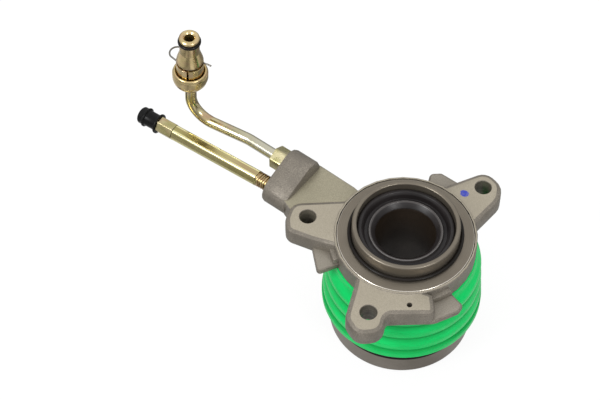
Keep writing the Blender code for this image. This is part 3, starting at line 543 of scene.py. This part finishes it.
def plating(name, place, roughness, scale, along, tints=(STRAW, OLIVE, ROSE), pale=None):
    """Plated steel with three tints; where it is near the place called pale, the film is thin."""
    mat, n, l, shader = node_material(name, (0.60, 0.54, 0.32), roughness, 1.0)
    stretch = (1.0, 1.0, along)
    point = object_point(n, l, place)
    first = spread(n, l, noise(n, l, point, scale, 1.5, stretch), 0.38, 0.62)
    second = spread(n, l, noise(n, l, point, scale * 1.7, 2.0, stretch), 0.50, 0.70)
    straw, olive, rose = tints
    colour = mixed(n, l, first, olive, straw)
    colour = mixed(n, l, second, colour, rose)
    if pale:
        away = vector_maths(n, l, 'DISTANCE', point, place.inverted() @ pale)["Value"]
        near = spread(n, l, away, PALE_NEAR, PALE_FAR, 0.88, 0.0)
        colour = mixed(n, l, near, colour, PALE_ZINC)
    l.new(colour, shader.inputs["Base Color"])
    wear = noise(n, l, point, 400.0, 2.0)
    l.new(spread(n, l, wear, 0.3, 0.7, roughness - 0.03, roughness + 0.05), shader.inputs["Roughness"])
    bump(n, l, shader, [(noise(n, l, point, 180.0, 1.0), 0.08, 0.00002)])
    return mat


pipe_zinc, nut_zinc, riser_zinc, bleeder_zinc, screw_zinc = [plating(*row) for row in (
    # name, axis, roughness, scale, stretch along the axis, tints, place of the thin film
    ("pipe_zinc", UNIT, 0.16, 90.0, 1.0, (STRAW, OLIVE, ROSE), nut),
    ("nut_zinc", PORT, 0.28, 200.0, 1.0, ((0.52, 0.47, 0.29), (0.38, 0.35, 0.17), (0.50, 0.44, 0.26))),
    ("riser_zinc", RISER, 0.20, 110.0, 2.5, ((0.69, 0.54, 0.29), (0.60, 0.48, 0.24), (0.61, 0.43, 0.25))),
    ("bleeder_zinc", BLEEDER, 0.22, 150.0, 0.15,
     ((0.56, 0.49, 0.25), (0.42, 0.37, 0.15), (0.46, 0.34, 0.18))),
    ("screw_zinc", BLEEDER, 0.24, 200.0, 0.4))]
# A pale band along the ridges of the bleeder's bar is a painted highlight.
ring_band(bleeder_zinc, BLEEDER, BAR_HIGHLIGHT_FROM, BAR_OUTSIDE, (0.86, 0.80, 0.44), 0.16, 0.06 * MM)
ring_band(riser_zinc, RISER, -MM, CONNECTOR_BORE, (0.36, 0.27, 0.06), 0.6)
print("plating:", pipe_zinc.name, riser_zinc.name, bleeder_zinc.name)

# %% [markdown]
# ## Rubber and plastic
#
# The boot is a glossy green rubber: broad soft highlights and hardly any texture. Its creases are dull
# and painted dark, as the shade in the folds; an attribute kept on the boot's own mesh says where they
# are. The seals and the cap are black. The shaft seal has a satin sheen with the fine flow lines of its
# mould; a grey band on its lip is a painted sheen, and a paler rim at the lip's edge a painted highlight.

# %% Rubber
LINE_PITCH, RUBBER_DEPTH = 1.1 * MM, 0.01 * MM
# Radii of the painted sheen band and of the painted highlight rim on the seal's lip.
LIP_SHEEN_BAND, LIP_HIGHLIGHT_RIM = (17.3 * MM, 18.6 * MM), (18.1 * MM, 18.25 * MM)


def rubber(name, dark, light, roughness, specular=0.5, place=UNIT, grain=0.2, lines=0.25):
    """Rubber or plastic, a little cloudy, with the fine lines of a turned mould; grain is in mm."""
    mat, n, l, shader = node_material(name, light, roughness, 0.0)
    shader.inputs["Specular IOR Level"].default_value = specular
    point = object_point(n, l, place)
    cloud = noise(n, l, point, 80.0, 3.0, (1.0, 1.0, 3.0))
    l.new(mixed(n, l, spread(n, l, cloud, 0.35, 0.65), dark, light), shader.inputs["Base Color"])
    l.new(spread(n, l, cloud, 0.3, 0.7, roughness + 0.05, roughness - 0.05), shader.inputs["Roughness"])
    bump(n, l, shader, [(rings(n, l, point, LINE_PITCH), lines, RUBBER_DEPTH * 2),
                        (noise(n, l, point, 1.0 / (grain * MM), 2.0), 0.3, RUBBER_DEPTH)])
    return mat


boot_rubber, seal_rubber, ring_rubber, spigot_rubber, cap_rubber, nylon = [rubber(*row) for row in (
    # name, dark, light, roughness, specular, axis, grain, strength of the lines
    ("boot_rubber", (0.001, 0.520, 0.106), (0.002, 0.600, 0.130), 0.24, 0.18, UNIT, 0.6, 0.06),
    ("seal_rubber", (0.009, 0.007, 0.007), (0.020, 0.017, 0.017), 0.36, 0.32),
    ("ring_rubber", (0.006, 0.005, 0.004), (0.014, 0.012, 0.010), 0.26, 0.14),
    ("spigot_rubber", (0.008, 0.007, 0.006), (0.018, 0.015, 0.013), 0.28, 0.14),
    ("cap_rubber", (0.004, 0.004, 0.004), (0.008, 0.008, 0.008), 0.22, 0.14, BLEEDER, 0.5),
    ("nylon", (0.12, 0.09, 0.05), (0.17, 0.13, 0.08), 0.50))]
# The boot's creases are painted dark green: painted shade in the valleys of the folds.
crease = boot_rubber.node_tree.nodes.new("ShaderNodeAttribute")
crease.attribute_name = "crease"
refinished(boot_rubber, crease.outputs["Fac"], (0.000, 0.230, 0.040), 0.85)
# A grey band on the seal's lip is a painted sheen, and a thin pale rim at its edge a painted highlight.
ring_band(seal_rubber, UNIT, *LIP_SHEEN_BAND, (0.058, 0.052, 0.050), 0.26)
ring_band(seal_rubber, UNIT, *LIP_HIGHLIGHT_RIM, (0.200, 0.190, 0.185), 0.26, 0.1 * MM)
print("rubber:", boot_rubber.name, seal_rubber.name, cap_rubber.name)

# %% [markdown]
# ## The casting
#
# The casting is one solid with many joined forms, so it isn't spun again. A copy has its loose
# triangles merged and its flat fields dissolved into single faces. A narrow bevel then rounds the
# edges: an edge without any radius catches no light and looks like paper. Flat faces take the finish
# of their height, the walls of the bolt holes are found by their distance from the holes' axes, and
# all other faces keep the skin of the mould.

# %% Casting
LUG_DROP, WEB_DROP, TAB_DROP = 0.3 * MM, 1.5 * MM, 7.0 * MM
LEVEL_SLACK = 0.1 * MM
HOLE_REACH = 4.6 * MM
EDGE = 0.30 * MM
finish_at = ((FLANGE_Z, milled_face), (FLANGE_Z - LUG_DROP, milled_face), (FLANGE_Z - WEB_DROP, web_face),
             (FLANGE_Z - TAB_DROP, tab_face))
hole_mids = [(Vector(o["box_m"][0]) + Vector(o["box_m"][1])) / 2
             for o in record["physics"]["openings"] if "bolt_hole" in o["name"]]


def finish_of(face):
    """The finish of one face of the casting, by its height, its slope and the bolt holes."""
    middle = face.calc_center_median()
    if abs(face.normal.z) < 0.5 and min((middle.xy - mid.xy).length for mid in hole_mids) < HOLE_REACH:
        return drilled_wall
    for level, finish in finish_at:
        if face.normal.z > 0.98 and abs(middle.z - level) < LEVEL_SLACK:
            return finish
    return cast_skin


def applied(obj):
    """Make a plain mesh of what the modifiers do to an object, and remove them."""
    graph = bpy.context.evaluated_depsgraph_get()
    made = bpy.data.meshes.new_from_object(obj.evaluated_get(graph))
    obj.modifiers.clear()
    obj.data = made
    return obj


def bevelled(obj, width, angle, harden=False):
    """Round the edges of an object that are sharper than an angle."""
    step = obj.modifiers.new("edges", 'BEVEL')
    step.width = width
    step.segments = 2
    step.limit_method = 'ANGLE'
    step.angle_limit = math.radians(angle)
    step.harden_normals = harden
    return applied(obj)


bm = merged("housing")
bmesh.ops.dissolve_degenerate(bm, edges=bm.edges, dist=1e-6)
bmesh.ops.dissolve_limit(bm, angle_limit=math.radians(1.5), verts=bm.verts, edges=bm.edges)
for face in bm.faces:
    face.material_index = FINISHES.index(finish_of(face))
casting = bevelled(stored("casting", bm, 30.0), EDGE, 35.0, harden=True)
stands_for(casting, FINISHES, "housing")

# %% [markdown]
# ## Bosses under the lugs
#
# Seen from above at a slant, a bolt hole shows nothing but its wall, so it is deeper than the lug is
# thick at its rim. A low boss round each hole, on the hidden underside, is a guess that explains it.
# Each boss is a ring of its own here, spun from four points, that starts inside the lug.

# %% Bosses
HOLE_R = 4.2 * MM
BOSS_R = 6.6 * MM
BOSS_FOOT = 7.1 * MM
BOSS_DEPTH = 2.4 * MM
BOSS_ROOT = 0.1 * MM
lug_under = min(p.z for p in points("housing") if (p.xy - hole_mids[1].xy).length < HOLE_R + BOSS_ROOT)
boss_loop = [(HOLE_R, -BOSS_DEPTH), (BOSS_R, -BOSS_DEPTH), (BOSS_FOOT, BOSS_ROOT), (HOLE_R, BOSS_ROOT)]
for k, mid in enumerate(hole_mids):
    place = Matrix.Translation((mid.x, mid.y, lug_under))
    boss = spun("lug_boss_" + str(k + 1), eased(boss_loop, EDGE), place, 64)
    boss.data.materials.append(cast_skin)
    boss.data.materials.append(drilled_wall)
    for f in boss.data.polygons:
        if (Vector(f.center).xy - mid.xy).length < HOLE_R + BOSS_ROOT:
            f.material_index = 1
    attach(boss, body_of_node["housing"])
print("lugs end at", round(lug_under * 1000, 2), "mm, with bosses of", round(BOSS_DEPTH * 1000, 1), "mm")

# %% [markdown]
# ## Disc, spigot and rings
#
# The steel disc carries a tall spigot that centres the unit in the gearbox. Its edges are chamfered,
# and a thin bright line on the chamfer is a painted highlight. One loop spins all pieces about the
# unit's axis, down to the rings of the bearing.

# %% Turned pieces
for node, mat, radius, steps in (
        ("seal_carrier", disc_steel, 0.30, 160), ("carrier_oring", ring_rubber, 0.30, 96),
        ("spigot_oring", spigot_rubber, 0.60, 160), ("guide_tube", bore_steel, 0.20, 128),
        ("stop_ring", bright_steel, 0.15, 96), ("shaft_seal", seal_rubber, 0.30, 160),
        ("piston", nylon, 0.20, 96), ("pressure_seal", seal_rubber, 0.20, 96),
        ("bearing_carrier", carrier_steel, 0.30, 128), ("inner_race", bright_steel, 0.20, 128),
        ("outer_race", bearing_steel, 0.35, 160), ("bearing_shield", carrier_steel, 0.15, 128)):
    turned_again(node, mat, UNIT, radius, steps)

# %% [markdown]
# ## Dust boot
#
# The boot is moulded rubber with shallow folds. It is spun like the metal rings, but its section is
# eased much more, because rubber comes out of its mould with full, round folds. Each vertex keeps how
# near it is to a valley of the outline. Its collar sits on the neck of the casting.

# %% Boot
FOLD_DEPTH = 3.2 * MM
CREASE_STEP = 0.5 * MM
CREASE_WIDTH = 2.4 * MM
# How dark the painted shade in the creases is.
CREASE_SHADE = 0.85


def shortens(obj):
    """Give the object a mesh of its own."""
    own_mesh(obj)


boot = turned_again("dust_boot", boot_rubber, UNIT, 1.6, 160, 60.0, 6)
folds = section("dust_boot", UNIT)[0]
outside = max(r for r, z in folds) - FOLD_DEPTH
beyond = folds[1:] + folds[:1]
valleys = [here[1] for before, here, after in zip(folds[-1:] + folds, folds, beyond)
           if outside < here[0] < min(before[0], after[0]) - CREASE_STEP]
# Each vertex stores how much painted shade its crease gets, falling off with distance from a valley.
depth = boot.data.attributes.new("crease", 'FLOAT', 'POINT')
for v in boot.data.vertices:
    near = min(abs(v.co.z - z) for z in valleys)
    depth.data[v.index].value = CREASE_SHADE * max(0.0, 1.0 - near / CREASE_WIDTH) ** 1.5
print("creases at", [round(z * 1000, 1) for z in valleys], "mm")
shortens(boot)

# %% [markdown]
# ## Pipe and wire clip
#
# A pipe is a circle swept along a path of straight runs and arcs. Geometry Nodes do this well: the
# path is a chain of edges with a bend radius stored at each corner, Fillet Curve rounds the corners,
# and Curve to Mesh sweeps the circle. The same tree sweeps the thin wire of the clip that holds the
# connector, and the preload spring's coil, so its sizes are named inputs.

# %% A tree that sweeps a round bar along a path
def tree_with(name, sockets):
    """New tree with named inputs: the tree, its nodes, its linking call, its input and output nodes."""
    tree = bpy.data.node_groups.new(name, 'GeometryNodeTree')
    tree.interface.new_socket("Geometry", in_out='INPUT', socket_type='NodeSocketGeometry')
    for label, kind, value in sockets:
        socket = tree.interface.new_socket(label, in_out='INPUT', socket_type="NodeSocket" + kind)
        if value is not None:
            socket.default_value = value
    tree.interface.new_socket("Geometry", in_out='OUTPUT', socket_type='NodeSocketGeometry')
    n = tree.nodes
    return tree, n, tree.links.new, n.new("NodeGroupInput"), n.new("NodeGroupOutput")


def finish_tree(tree, geometry, given, out):
    """Every tree ends with real faces, smooth shading and the material that it was given."""
    smooth = tree.nodes.new("GeometryNodeSetShadeSmooth")
    real = tree.nodes.new("GeometryNodeRealizeInstances")
    dress = tree.nodes.new("GeometryNodeSetMaterial")
    tree.links.new(geometry, real.inputs["Geometry"])
    tree.links.new(real.outputs["Geometry"], smooth.inputs["Geometry"])
    tree.links.new(smooth.outputs["Geometry"], dress.inputs["Geometry"])
    tree.links.new(given.outputs["Material"], dress.inputs["Material"])
    tree.links.new(dress.outputs["Geometry"], out.inputs["Geometry"])


def sweep_tree():
    tree, n, link, given, out = tree_with("swept_bar", [
        ("Radius", "Float", 0.003), ("Sides", "Int", 24), ("Arc Steps", "Int", 10),
        ("Material", "Material", None)])
    line = n.new("GeometryNodeMeshToCurve")
    fillet = n.new("GeometryNodeFilletCurve")
    fillet.mode = 'POLY'
    bend = n.new("GeometryNodeInputNamedAttribute")
    bend.data_type = 'FLOAT'
    bend.inputs["Name"].default_value = "bend"
    circle = n.new("GeometryNodeCurvePrimitiveCircle")
    sweep = n.new("GeometryNodeCurveToMesh")
    sweep.inputs["Fill Caps"].default_value = True
    link(given.outputs["Geometry"], line.inputs["Mesh"])
    link(line.outputs["Curve"], fillet.inputs["Curve"])
    link(bend.outputs["Attribute"], fillet.inputs["Radius"])
    link(given.outputs["Arc Steps"], fillet.inputs["Count"])
    link(given.outputs["Sides"], circle.inputs["Resolution"])
    link(given.outputs["Radius"], circle.inputs["Radius"])
    link(fillet.outputs["Curve"], sweep.inputs["Curve"])
    link(circle.outputs["Curve"], sweep.inputs["Profile Curve"])
    finish_tree(tree, sweep.outputs["Mesh"], given, out)
    return tree


def grown(name, start_mesh, tree, **values):
    """Run a tree on a mesh and keep the result as a plain mesh object."""
    obj = linked(name, start_mesh)
    step = obj.modifiers.new("tree", 'NODES')
    step.node_group = tree
    for item in tree.interface.items_tree:
        key = item.name.lower().replace(" ", "_")
        if item.in_out == 'INPUT' and key in values:
            step[item.identifier] = values[key]
    made = applied(obj).data
    bm = bmesh.new()
    bm.from_mesh(made)
    bmesh.ops.recalc_face_normals(bm, faces=bm.faces)
    bm.to_mesh(made)
    bm.free()
    made.set_sharp_from_angle(angle=math.radians(40.0))
    return obj


def path_mesh(name, corners):
    """Chain of edges; each corner is (point, bend radius)."""
    mesh = bpy.data.meshes.new(name)
    mesh.from_pydata([tuple(p) for p, r in corners], [(k, k + 1) for k in range(len(corners) - 1)], [])
    radii = mesh.attributes.new("bend", 'FLOAT', 'POINT')
    radii.data.foreach_set("value", [r for p, r in corners])
    return mesh


sweep = sweep_tree()
print("tree", sweep.name, "has", len(sweep.nodes), "nodes")

# %% [markdown]
# ## Pressure pipe
#
# The pipe leaves the nut along the port's axis, bends gently in its own level, and turns up with a
# tight bend into the connector. The axes found above give all its corners.

# %% Pressure pipe
PIPE_R = 3.05 * MM
RUN_ANGLE = math.radians(150.0)
SHALLOW_BEND, TIGHT_BEND = 30.0 * MM, 13.0 * MM

run_dir = Vector((math.cos(RUN_ANGLE), math.sin(RUN_ANGLE), 0.0))
gap = corner - nut
across = port_dir.cross(run_dir).z
ahead = gap.cross(run_dir).z / across
knee = nut + port_dir * ahead
pipe_top = max(p.z for p in points("pressure_pipe", RISER))
starts = min((p - nut).dot(port_dir) for p in points("pressure_pipe"))
corners = [(nut + port_dir * starts, 0.0), (knee, SHALLOW_BEND), (corner, TIGHT_BEND),
           (corner + riser_dir * pipe_top, 0.0)]
pipe = grown("pipe_swept", path_mesh("pipe_path", corners), sweep, radius=PIPE_R, sides=40, arc_steps=24,
             material=pipe_zinc)
stands_for(pipe, pipe_zinc, "pressure_pipe")
print("pipe from nut to knee:", round(ahead * 1000, 1), "mm")

# %% [markdown]
# ## Preload spring
#
# Inside the boot a coil spring keeps the bearing lightly on the clutch's fingers. Its end turns are
# closed and lie flat, so that it stands straight, and the turns between them are open. The points of
# such a coil are computed one by one, and the sweep tree gives the wire its thickness.

# %% Preload spring
COILS = 4.5
STEPS_PER_TURN = 36
END_ROOM = 0.5 * MM
spring_low, spring_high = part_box("preload_spring")
reach = [math.hypot(p.x - AXIS.x, p.y - AXIS.y) for p in points("preload_spring")]
spring_wire = (max(reach) - min(reach)) / 2
coil_top, coil_foot = spring_high[2] - spring_wire, spring_low[2] + spring_wire
end_rise = 2 * spring_wire + END_ROOM


def coil_point(turn):
    """Point of the coil after some turns from the top; the first and last turns lie almost flat."""
    ends = min(turn, 1.0) + max(turn - COILS + 1.0, 0.0)
    middle = min(max(turn - 1.0, 0.0), COILS - 2.0) / (COILS - 2.0)
    z = coil_top - end_rise * ends - (coil_top - coil_foot - 2 * end_rise) * middle
    radius = (max(reach) + min(reach)) / 2
    t = 2 * math.pi * turn
    return Vector((AXIS.x + radius * math.cos(t), AXIS.y + radius * math.sin(t), z))


coil = [(coil_point(k / STEPS_PER_TURN), 1.5 * MM) for k in range(round(COILS * STEPS_PER_TURN) + 1)]
spring = grown("spring_swept", path_mesh("coil_path", coil), sweep, radius=spring_wire, sides=16,
               arc_steps=1, material=bright_steel)
stands_for(spring, bright_steel, "preload_spring")
shortens(spring)

# %% [markdown]
# ## Wire clip
#
# The connector is held in its socket by a bent spring wire. It hugs the groove of the connector, leaves
# it in a round loop on one side, and ends in a short kinked tail on the other. Arcs and a few listed
# points give its path, and the same tree sweeps it.

# %% Wire clip
CLIP_R = 0.45 * MM
CLIP_HOLD = 5.65 * MM
CLIP_LOOP = 4.1 * MM
CLIP_LEAVES = 62.0
CLIP_TAIL = ((10.7, -2.9), (9.0, -1.95), (7.3, -1.25), (6.3, -0.7))


def ring_point(angle, radius):
    t = math.radians(angle)
    return Vector((radius * math.cos(t), radius * math.sin(t), 0.0))


heights = [p.z for p in points("retaining_clip", RISER)]
clip_z = sum(heights) / len(heights)
back = ring_point(CLIP_LEAVES, CLIP_HOLD) - ring_point(CLIP_LEAVES - 90.0, 8.0 * MM)
loop_mid = back - ring_point(CLIP_LEAVES, CLIP_LOOP)
wire = [Vector((x, y, 0.0)) * MM for x, y in CLIP_TAIL]
wire += [ring_point(CLIP_LEAVES * k / 10, CLIP_HOLD) for k in range(11)]
wire += [back]
wire += [loop_mid + ring_point(CLIP_LEAVES + 150.0 * k / 14, CLIP_LOOP) for k in range(1, 15)]
wire += [ring_point(190.0 + 125.0 * k / 16, CLIP_HOLD) for k in range(17)]
lift = Matrix.Translation((0.0, 0.0, clip_z))
clip_corners = [(RISER @ lift @ p, 0.8 * MM) for p in wire]
clip = grown("clip_swept", path_mesh("clip_path", clip_corners), sweep, radius=CLIP_R, sides=12, arc_steps=4,
             material=wire_steel)
stands_for(clip, wire_steel, "retaining_clip")

# %% [markdown]
# ## Fittings with flats
#
# The nut, the bleeder's bar and the bleed screw are turned from drawn bar with six flats. So each is
# the common part of two forms: its own section spun about the axis, and the bar's outline, a hexagon
# whose corners are rounded by the drawing die. That gives the curved chamfers of a real nut for free.

# %% Hexagon pieces
HALF = math.radians(30.0)


def bar_radius(t, corner, round_r):
    """Distance from the axis, at t from a corner, of a hexagon bar whose corners are rounded."""
    apothem = corner * math.cos(HALF)
    mid = (apothem - round_r) / math.cos(HALF)
    arc_end = math.atan2(round_r * math.sin(HALF), mid + round_r * math.cos(HALF))
    if abs(t) < arc_end:
        return mid * math.cos(t) + math.sqrt(round_r ** 2 - (mid * math.sin(t)) ** 2)
    return apothem / math.cos(HALF - abs(t))


def turned_from_bar(node, mat, place, ease, round_r, thread=None, steps=144):
    """Spin a node's section, but no farther out than the hexagon bar that it was turned from.

    thread is (from, to, crest, root) along the axis, where the crest radius becomes the root's.
    """
    profile = section(node, place)[0]
    far = max(points(node, place), key=lambda p: math.hypot(p.x, p.y))
    corner, turn = math.hypot(far.x, far.y), math.atan2(far.y, far.x)
    if thread:
        start, end, crest, root = thread
        profile = [(root if start < z < end and r > crest - 0.1 * MM else r, z) for r, z in profile]
    loop = eased(profile, ease * MM)
    bm = bmesh.new()
    rows = []
    for k in range(steps):
        t = 2 * math.pi * k / steps
        limit = bar_radius((t + HALF) % (2 * HALF) - HALF, corner, round_r * MM)
        x, y = math.cos(t + turn), math.sin(t + turn)
        rows.append([bm.verts.new((min(r, limit) * x, min(r, limit) * y, z)) for r, z in loop])
    for row, beyond in zip(rows, rows[1:] + rows[:1]):
        for j in range(len(loop)):
            bm.faces.new((row[j - 1], beyond[j - 1], beyond[j], row[j]))
    bmesh.ops.recalc_face_normals(bm, faces=bm.faces)
    bm.transform(place)
    return stands_for(stored(node + "_bar", bm, 34.0), mat, node)


THREAD_CREST = 4.0 * MM
THREAD_ROOT = 3.35 * MM
THREAD_START, THREAD_END = -9.0 * MM, 7.6 * MM
turned_from_bar("tube_nut", nut_zinc, PORT, ease=0.25, round_r=0.5)
turned_from_bar("bleed_pipe", bleeder_zinc, BLEEDER, ease=0.35, round_r=1.6,
                thread=(THREAD_START, THREAD_END, THREAD_CREST, THREAD_ROOT))
turned_from_bar("bleed_screw", screw_zinc, BLEEDER, ease=0.35, round_r=0.9)

# %% [markdown]
# ## Thread of the bleeder
#
# Between the block and the bar an M8 thread shows, with a pitch of 1.25 mm. A thread is a ridge that
# climbs along a helix. The Spiral primitive of Geometry Nodes gives the helix, and a circle of six
# sides swept along it gives the ridge.

# %% Thread ridge
PITCH = 1.25 * MM
RIDGE = 0.42 * MM
THREAD_LENGTH = 7.2 * MM
THREAD_STARTS = 0.5 * MM


def thread_tree():
    tree, n, link, given, out = tree_with("thread_ridge", [
        ("Turns", "Float", 5.0), ("Length", "Float", 0.006), ("Helix Radius", "Float", 0.0038),
        ("Ridge", "Float", 0.0006), ("Material", "Material", None)])
    spiral = n.new("GeometryNodeCurveSpiral")
    spiral.inputs["Resolution"].default_value = 32
    ridge = n.new("GeometryNodeCurvePrimitiveCircle")
    ridge.inputs["Resolution"].default_value = 6
    sweep = n.new("GeometryNodeCurveToMesh")
    sweep.inputs["Fill Caps"].default_value = True
    link(given.outputs["Turns"], spiral.inputs["Rotations"])
    link(given.outputs["Length"], spiral.inputs["Height"])
    link(given.outputs["Helix Radius"], spiral.inputs["Start Radius"])
    link(given.outputs["Helix Radius"], spiral.inputs["End Radius"])
    link(given.outputs["Ridge"], ridge.inputs["Radius"])
    link(spiral.outputs["Curve"], sweep.inputs["Curve"])
    link(ridge.outputs["Curve"], sweep.inputs["Profile Curve"])
    finish_tree(tree, sweep.outputs["Mesh"], given, out)
    return tree


copper_zinc = plating("copper_zinc", BLEEDER, 0.26, 400.0, 1.0,
                      ((0.60, 0.44, 0.26), (0.46, 0.33, 0.17), (0.50, 0.28, 0.16)))
thread = grown("bleeder_thread", bpy.data.meshes.new("thread_start"), thread_tree(),
               turns=THREAD_LENGTH / PITCH, length=THREAD_LENGTH, helix_radius=THREAD_CREST - RIDGE,
               ridge=RIDGE, material=copper_zinc)
thread.data.transform(BLEEDER @ Matrix.Translation((0.0, 0.0, THREAD_STARTS)))
thread.data.materials.clear()
thread.data.materials.append(copper_zinc)
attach(thread, "cylinder")
print("thread turns:", round(THREAD_LENGTH / PITCH, 1))

# %% [markdown]
# ## Connector, sleeve and cap
#
# The connector, its O-ring and the rubber cap are turned or moulded round one axis, so they are spun
# again. The sleeve has a slit, so it can't be spun: a copy of its solid gets a small bevel.

# %% Connector and cap
SLEEVE_EDGE = 0.15 * MM
turned_again("pipe_connector", riser_zinc, RISER, radius=0.25, steps=96)
turned_again("connector_oring", ring_rubber, RISER, radius=0.5, steps=96)
turned_again("bleed_cap", cap_rubber, BLEEDER, radius=0.35, steps=96)
bm = merged("connector_sleeve")
bmesh.ops.dissolve_limit(bm, angle_limit=math.radians(1.0), verts=bm.verts, edges=bm.edges)
sleeve = bevelled(stored("sleeve_bevelled", bm, 30.0), SLEEVE_EDGE, 40.0)
stands_for(sleeve, riser_zinc, "connector_sleeve")

# %% [markdown]
# ## Balls and cage
#
# Twelve balls stand in the pockets of the cage. They are the same ball twelve times, so Geometry
# Nodes put one sphere on each point of a circle, and the result is one mesh that turns with the cage.

# %% Balls
ball_names = sorted(n for n in nodes if n.startswith("ball_") and n[5:].isdigit())
first_low, first_high = (Vector(c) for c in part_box(ball_names[0]))
ball_mid = (first_low + first_high) / 2
ball_r = (first_high.z - first_low.z) / 2
pitch_r = math.hypot(ball_mid.x - AXIS.x, ball_mid.y - AXIS.y)


def ball_tree():
    tree, n, link, given, out = tree_with("ball_circle", [
        ("Count", "Int", 12), ("Pitch Radius", "Float", 0.027), ("Ball Radius", "Float", 0.003),
        ("Material", "Material", None)])
    circle = n.new("GeometryNodeMeshCircle")
    sphere = n.new("GeometryNodeMeshIcoSphere")
    sphere.inputs["Subdivisions"].default_value = 4
    copies = n.new("GeometryNodeInstanceOnPoints")
    link(given.outputs["Count"], circle.inputs["Vertices"])
    link(given.outputs["Pitch Radius"], circle.inputs["Radius"])
    link(given.outputs["Ball Radius"], sphere.inputs["Radius"])
    link(circle.outputs["Mesh"], copies.inputs["Points"])
    link(sphere.outputs["Mesh"], copies.inputs["Instance"])
    finish_tree(tree, copies.outputs["Instances"], given, out)
    return tree


balls = grown("bearing_balls", bpy.data.meshes.new("ball_start"), ball_tree(), count=len(ball_names),
              pitch_radius=pitch_r, ball_radius=ball_r, material=bright_steel)
half_step = math.atan2(ball_mid.y - AXIS.y, ball_mid.x - AXIS.x)
balls.data.transform(Matrix.Translation((AXIS.x, AXIS.y, ball_mid.z)) @ Matrix.Rotation(half_step, 4, 'Z'))
stands_for(balls, bright_steel, *ball_names)
nodes["ball_cage"].data.materials.clear()
nodes["ball_cage"].data.materials.append(nylon)
print(len(ball_names), "balls on a circle of", round(pitch_r * 1000, 1), "mm")

# %% [markdown]
# ## Camera, light and floor
#
# The photograph was solved for its camera: it looks down by 53.56 degrees with a long lens, from
# about 0.9 m.

# %% Camera
CAMERA_DOWN = 53.56
CAMERA_FROM_FLANGE = Vector((-52.2, -514.8, 725.6)) * MM
camera_data = bpy.data.cameras.new("camera")
camera_data.sensor_width = 36.0
camera_data.lens = 108.0
camera_data.clip_end = 50.0
camera = linked("camera", camera_data)
camera.location = AXIS + Vector((0.0, 0.0, FLANGE_Z)) + CAMERA_FROM_FLANGE
camera.rotation_euler = (math.radians(90.0 - CAMERA_DOWN), 0.0, 0.0)
scene.camera = camera
scene.view_settings.view_transform = 'Standard'

# %% [markdown]
# ## Floor
#
# Polished metal shows what stands round it. In a studio that is an uneven mixture of pale and grey, and
# a pure white floor would make the plating look like paper. By the Light Path node the floor is white
# to the camera, apart from the shadow that it keeps, and a streaky grey to reflections.

# %% Floor
SHARE_SEEN = 0.78
GLOW_SEEN = 1.14
FLOOR_HALF = 3.0
FLOOR_DROP = 0.2 * MM
bm = bmesh.new()
bmesh.ops.create_grid(bm, x_segments=1, y_segments=1, size=FLOOR_HALF)
bm.transform(Matrix.Translation((0.0, 0.0, cad_low[2] - FLOOR_DROP)))
floor = stored("floor", bm)
floor_mat, n, l, shader = node_material("floor_paper", (0.50, 0.50, 0.50), 0.9, 0.0)
path = n.new("ShaderNodeLightPath")
seen = maths(n, l, 'MAXIMUM', path.outputs["Is Camera Ray"], path.outputs["Is Transmission Ray"])
share = spread(n, l, seen, 0.0, 1.0, 0.0, SHARE_SEEN)
mirrored = path.outputs["Is Glossy Ray"]
glow = n.new("ShaderNodeEmission")
where = n.new("ShaderNodeTexCoord")
streaks = noise(n, l, where.outputs["Object"], 9.0, 2.0, (1.0, 0.2, 1.0))
uneven = spread(n, l, streaks, 0.40, 0.60, 0.20, 0.85)
l.new(mixed(n, l, mirrored, GLOW_SEEN, uneven, 'FLOAT'), glow.inputs["Strength"])
mix = n.new("ShaderNodeMixShader")
l.new(mixed(n, l, mirrored, share, 1.0, 'FLOAT'), mix.inputs["Fac"])
l.new(shader.outputs["BSDF"], mix.inputs[1])
l.new(glow.outputs["Emission"], mix.inputs[2])
l.new(mix.outputs["Shader"], n["Material Output"].inputs["Surface"])
floor.data.materials.append(floor_mat)
floor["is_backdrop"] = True

# %% [markdown]
# ## World
#
# The sky is white behind the unit. For light and for reflections it runs from grey at the horizon to
# pale overhead, as under a large soft box, so that curved metal gets a dark and a light side.

# %% World
world = bpy.data.worlds.new("studio")
world.use_nodes = True
scene.world = world
n, l = world.node_tree.nodes, world.node_tree.links
path = n.new("ShaderNodeLightPath")
where = n.new("ShaderNodeTexCoord")
height = height_of(n, l, where.outputs["Generated"])
lighting = spread(n, l, height, 0.0, 0.9, 0.42, 1.12)
mirrored = spread(n, l, height, 0.0, 0.45, 0.32, 0.94)
shown = maths(n, l, 'MAXIMUM', path.outputs["Is Camera Ray"], path.outputs["Is Transmission Ray"])
indirect = mixed(n, l, path.outputs["Is Glossy Ray"], lighting, mirrored, 'FLOAT')
l.new(mixed(n, l, shown, indirect, 1.0, 'FLOAT'), n["Background"].inputs["Strength"])
n["Background"].inputs["Color"].default_value = (1.0, 1.0, 1.0, 1.0)

# %% [markdown]
# ## Lamps
#
# Two square soft boxes stand before the unit and a third lights its upper left side, which draws the
# narrow highlights of the pipe and the chamfers. A wide one behind lifts the far edges; it is kept out
# of reflections, where it would lie on the disc as a white patch.

# %% Lamps
def lamp(name, place, aim, size, power):
    data = bpy.data.lights.new(name, 'AREA')
    data.shape = 'RECTANGLE'
    data.size, data.size_y = size
    data.energy = power
    obj = linked(name, data)
    obj.location = place
    obj.rotation_euler = (Vector(place) - Vector(aim)).to_track_quat('Z', 'Y').to_euler()
    return obj


MIDDLE = (0.03, 0.0, 0.05)
lamp("left_box", (-0.78, -0.66, 0.72), MIDDLE, (0.34, 0.34), 2.85)
lamp("right_box", (0.60, -0.82, 0.76), MIDDLE, (0.34, 0.34), 3.3)
lamp("top_box", (-0.66, -0.40, 0.80), (-0.04, 0.03, 0.06), (0.34, 0.30), 2.8)
lamp("back_box", (0.05, 0.90, 1.20), MIDDLE, (1.40, 0.60), 3.4).visible_glossy = False

# %% [markdown]
# ## Closing
#
# The box of the dressed unit is kept beside that of the CAD model, so that the two can be compared.

# %% Sizes kept
low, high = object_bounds()
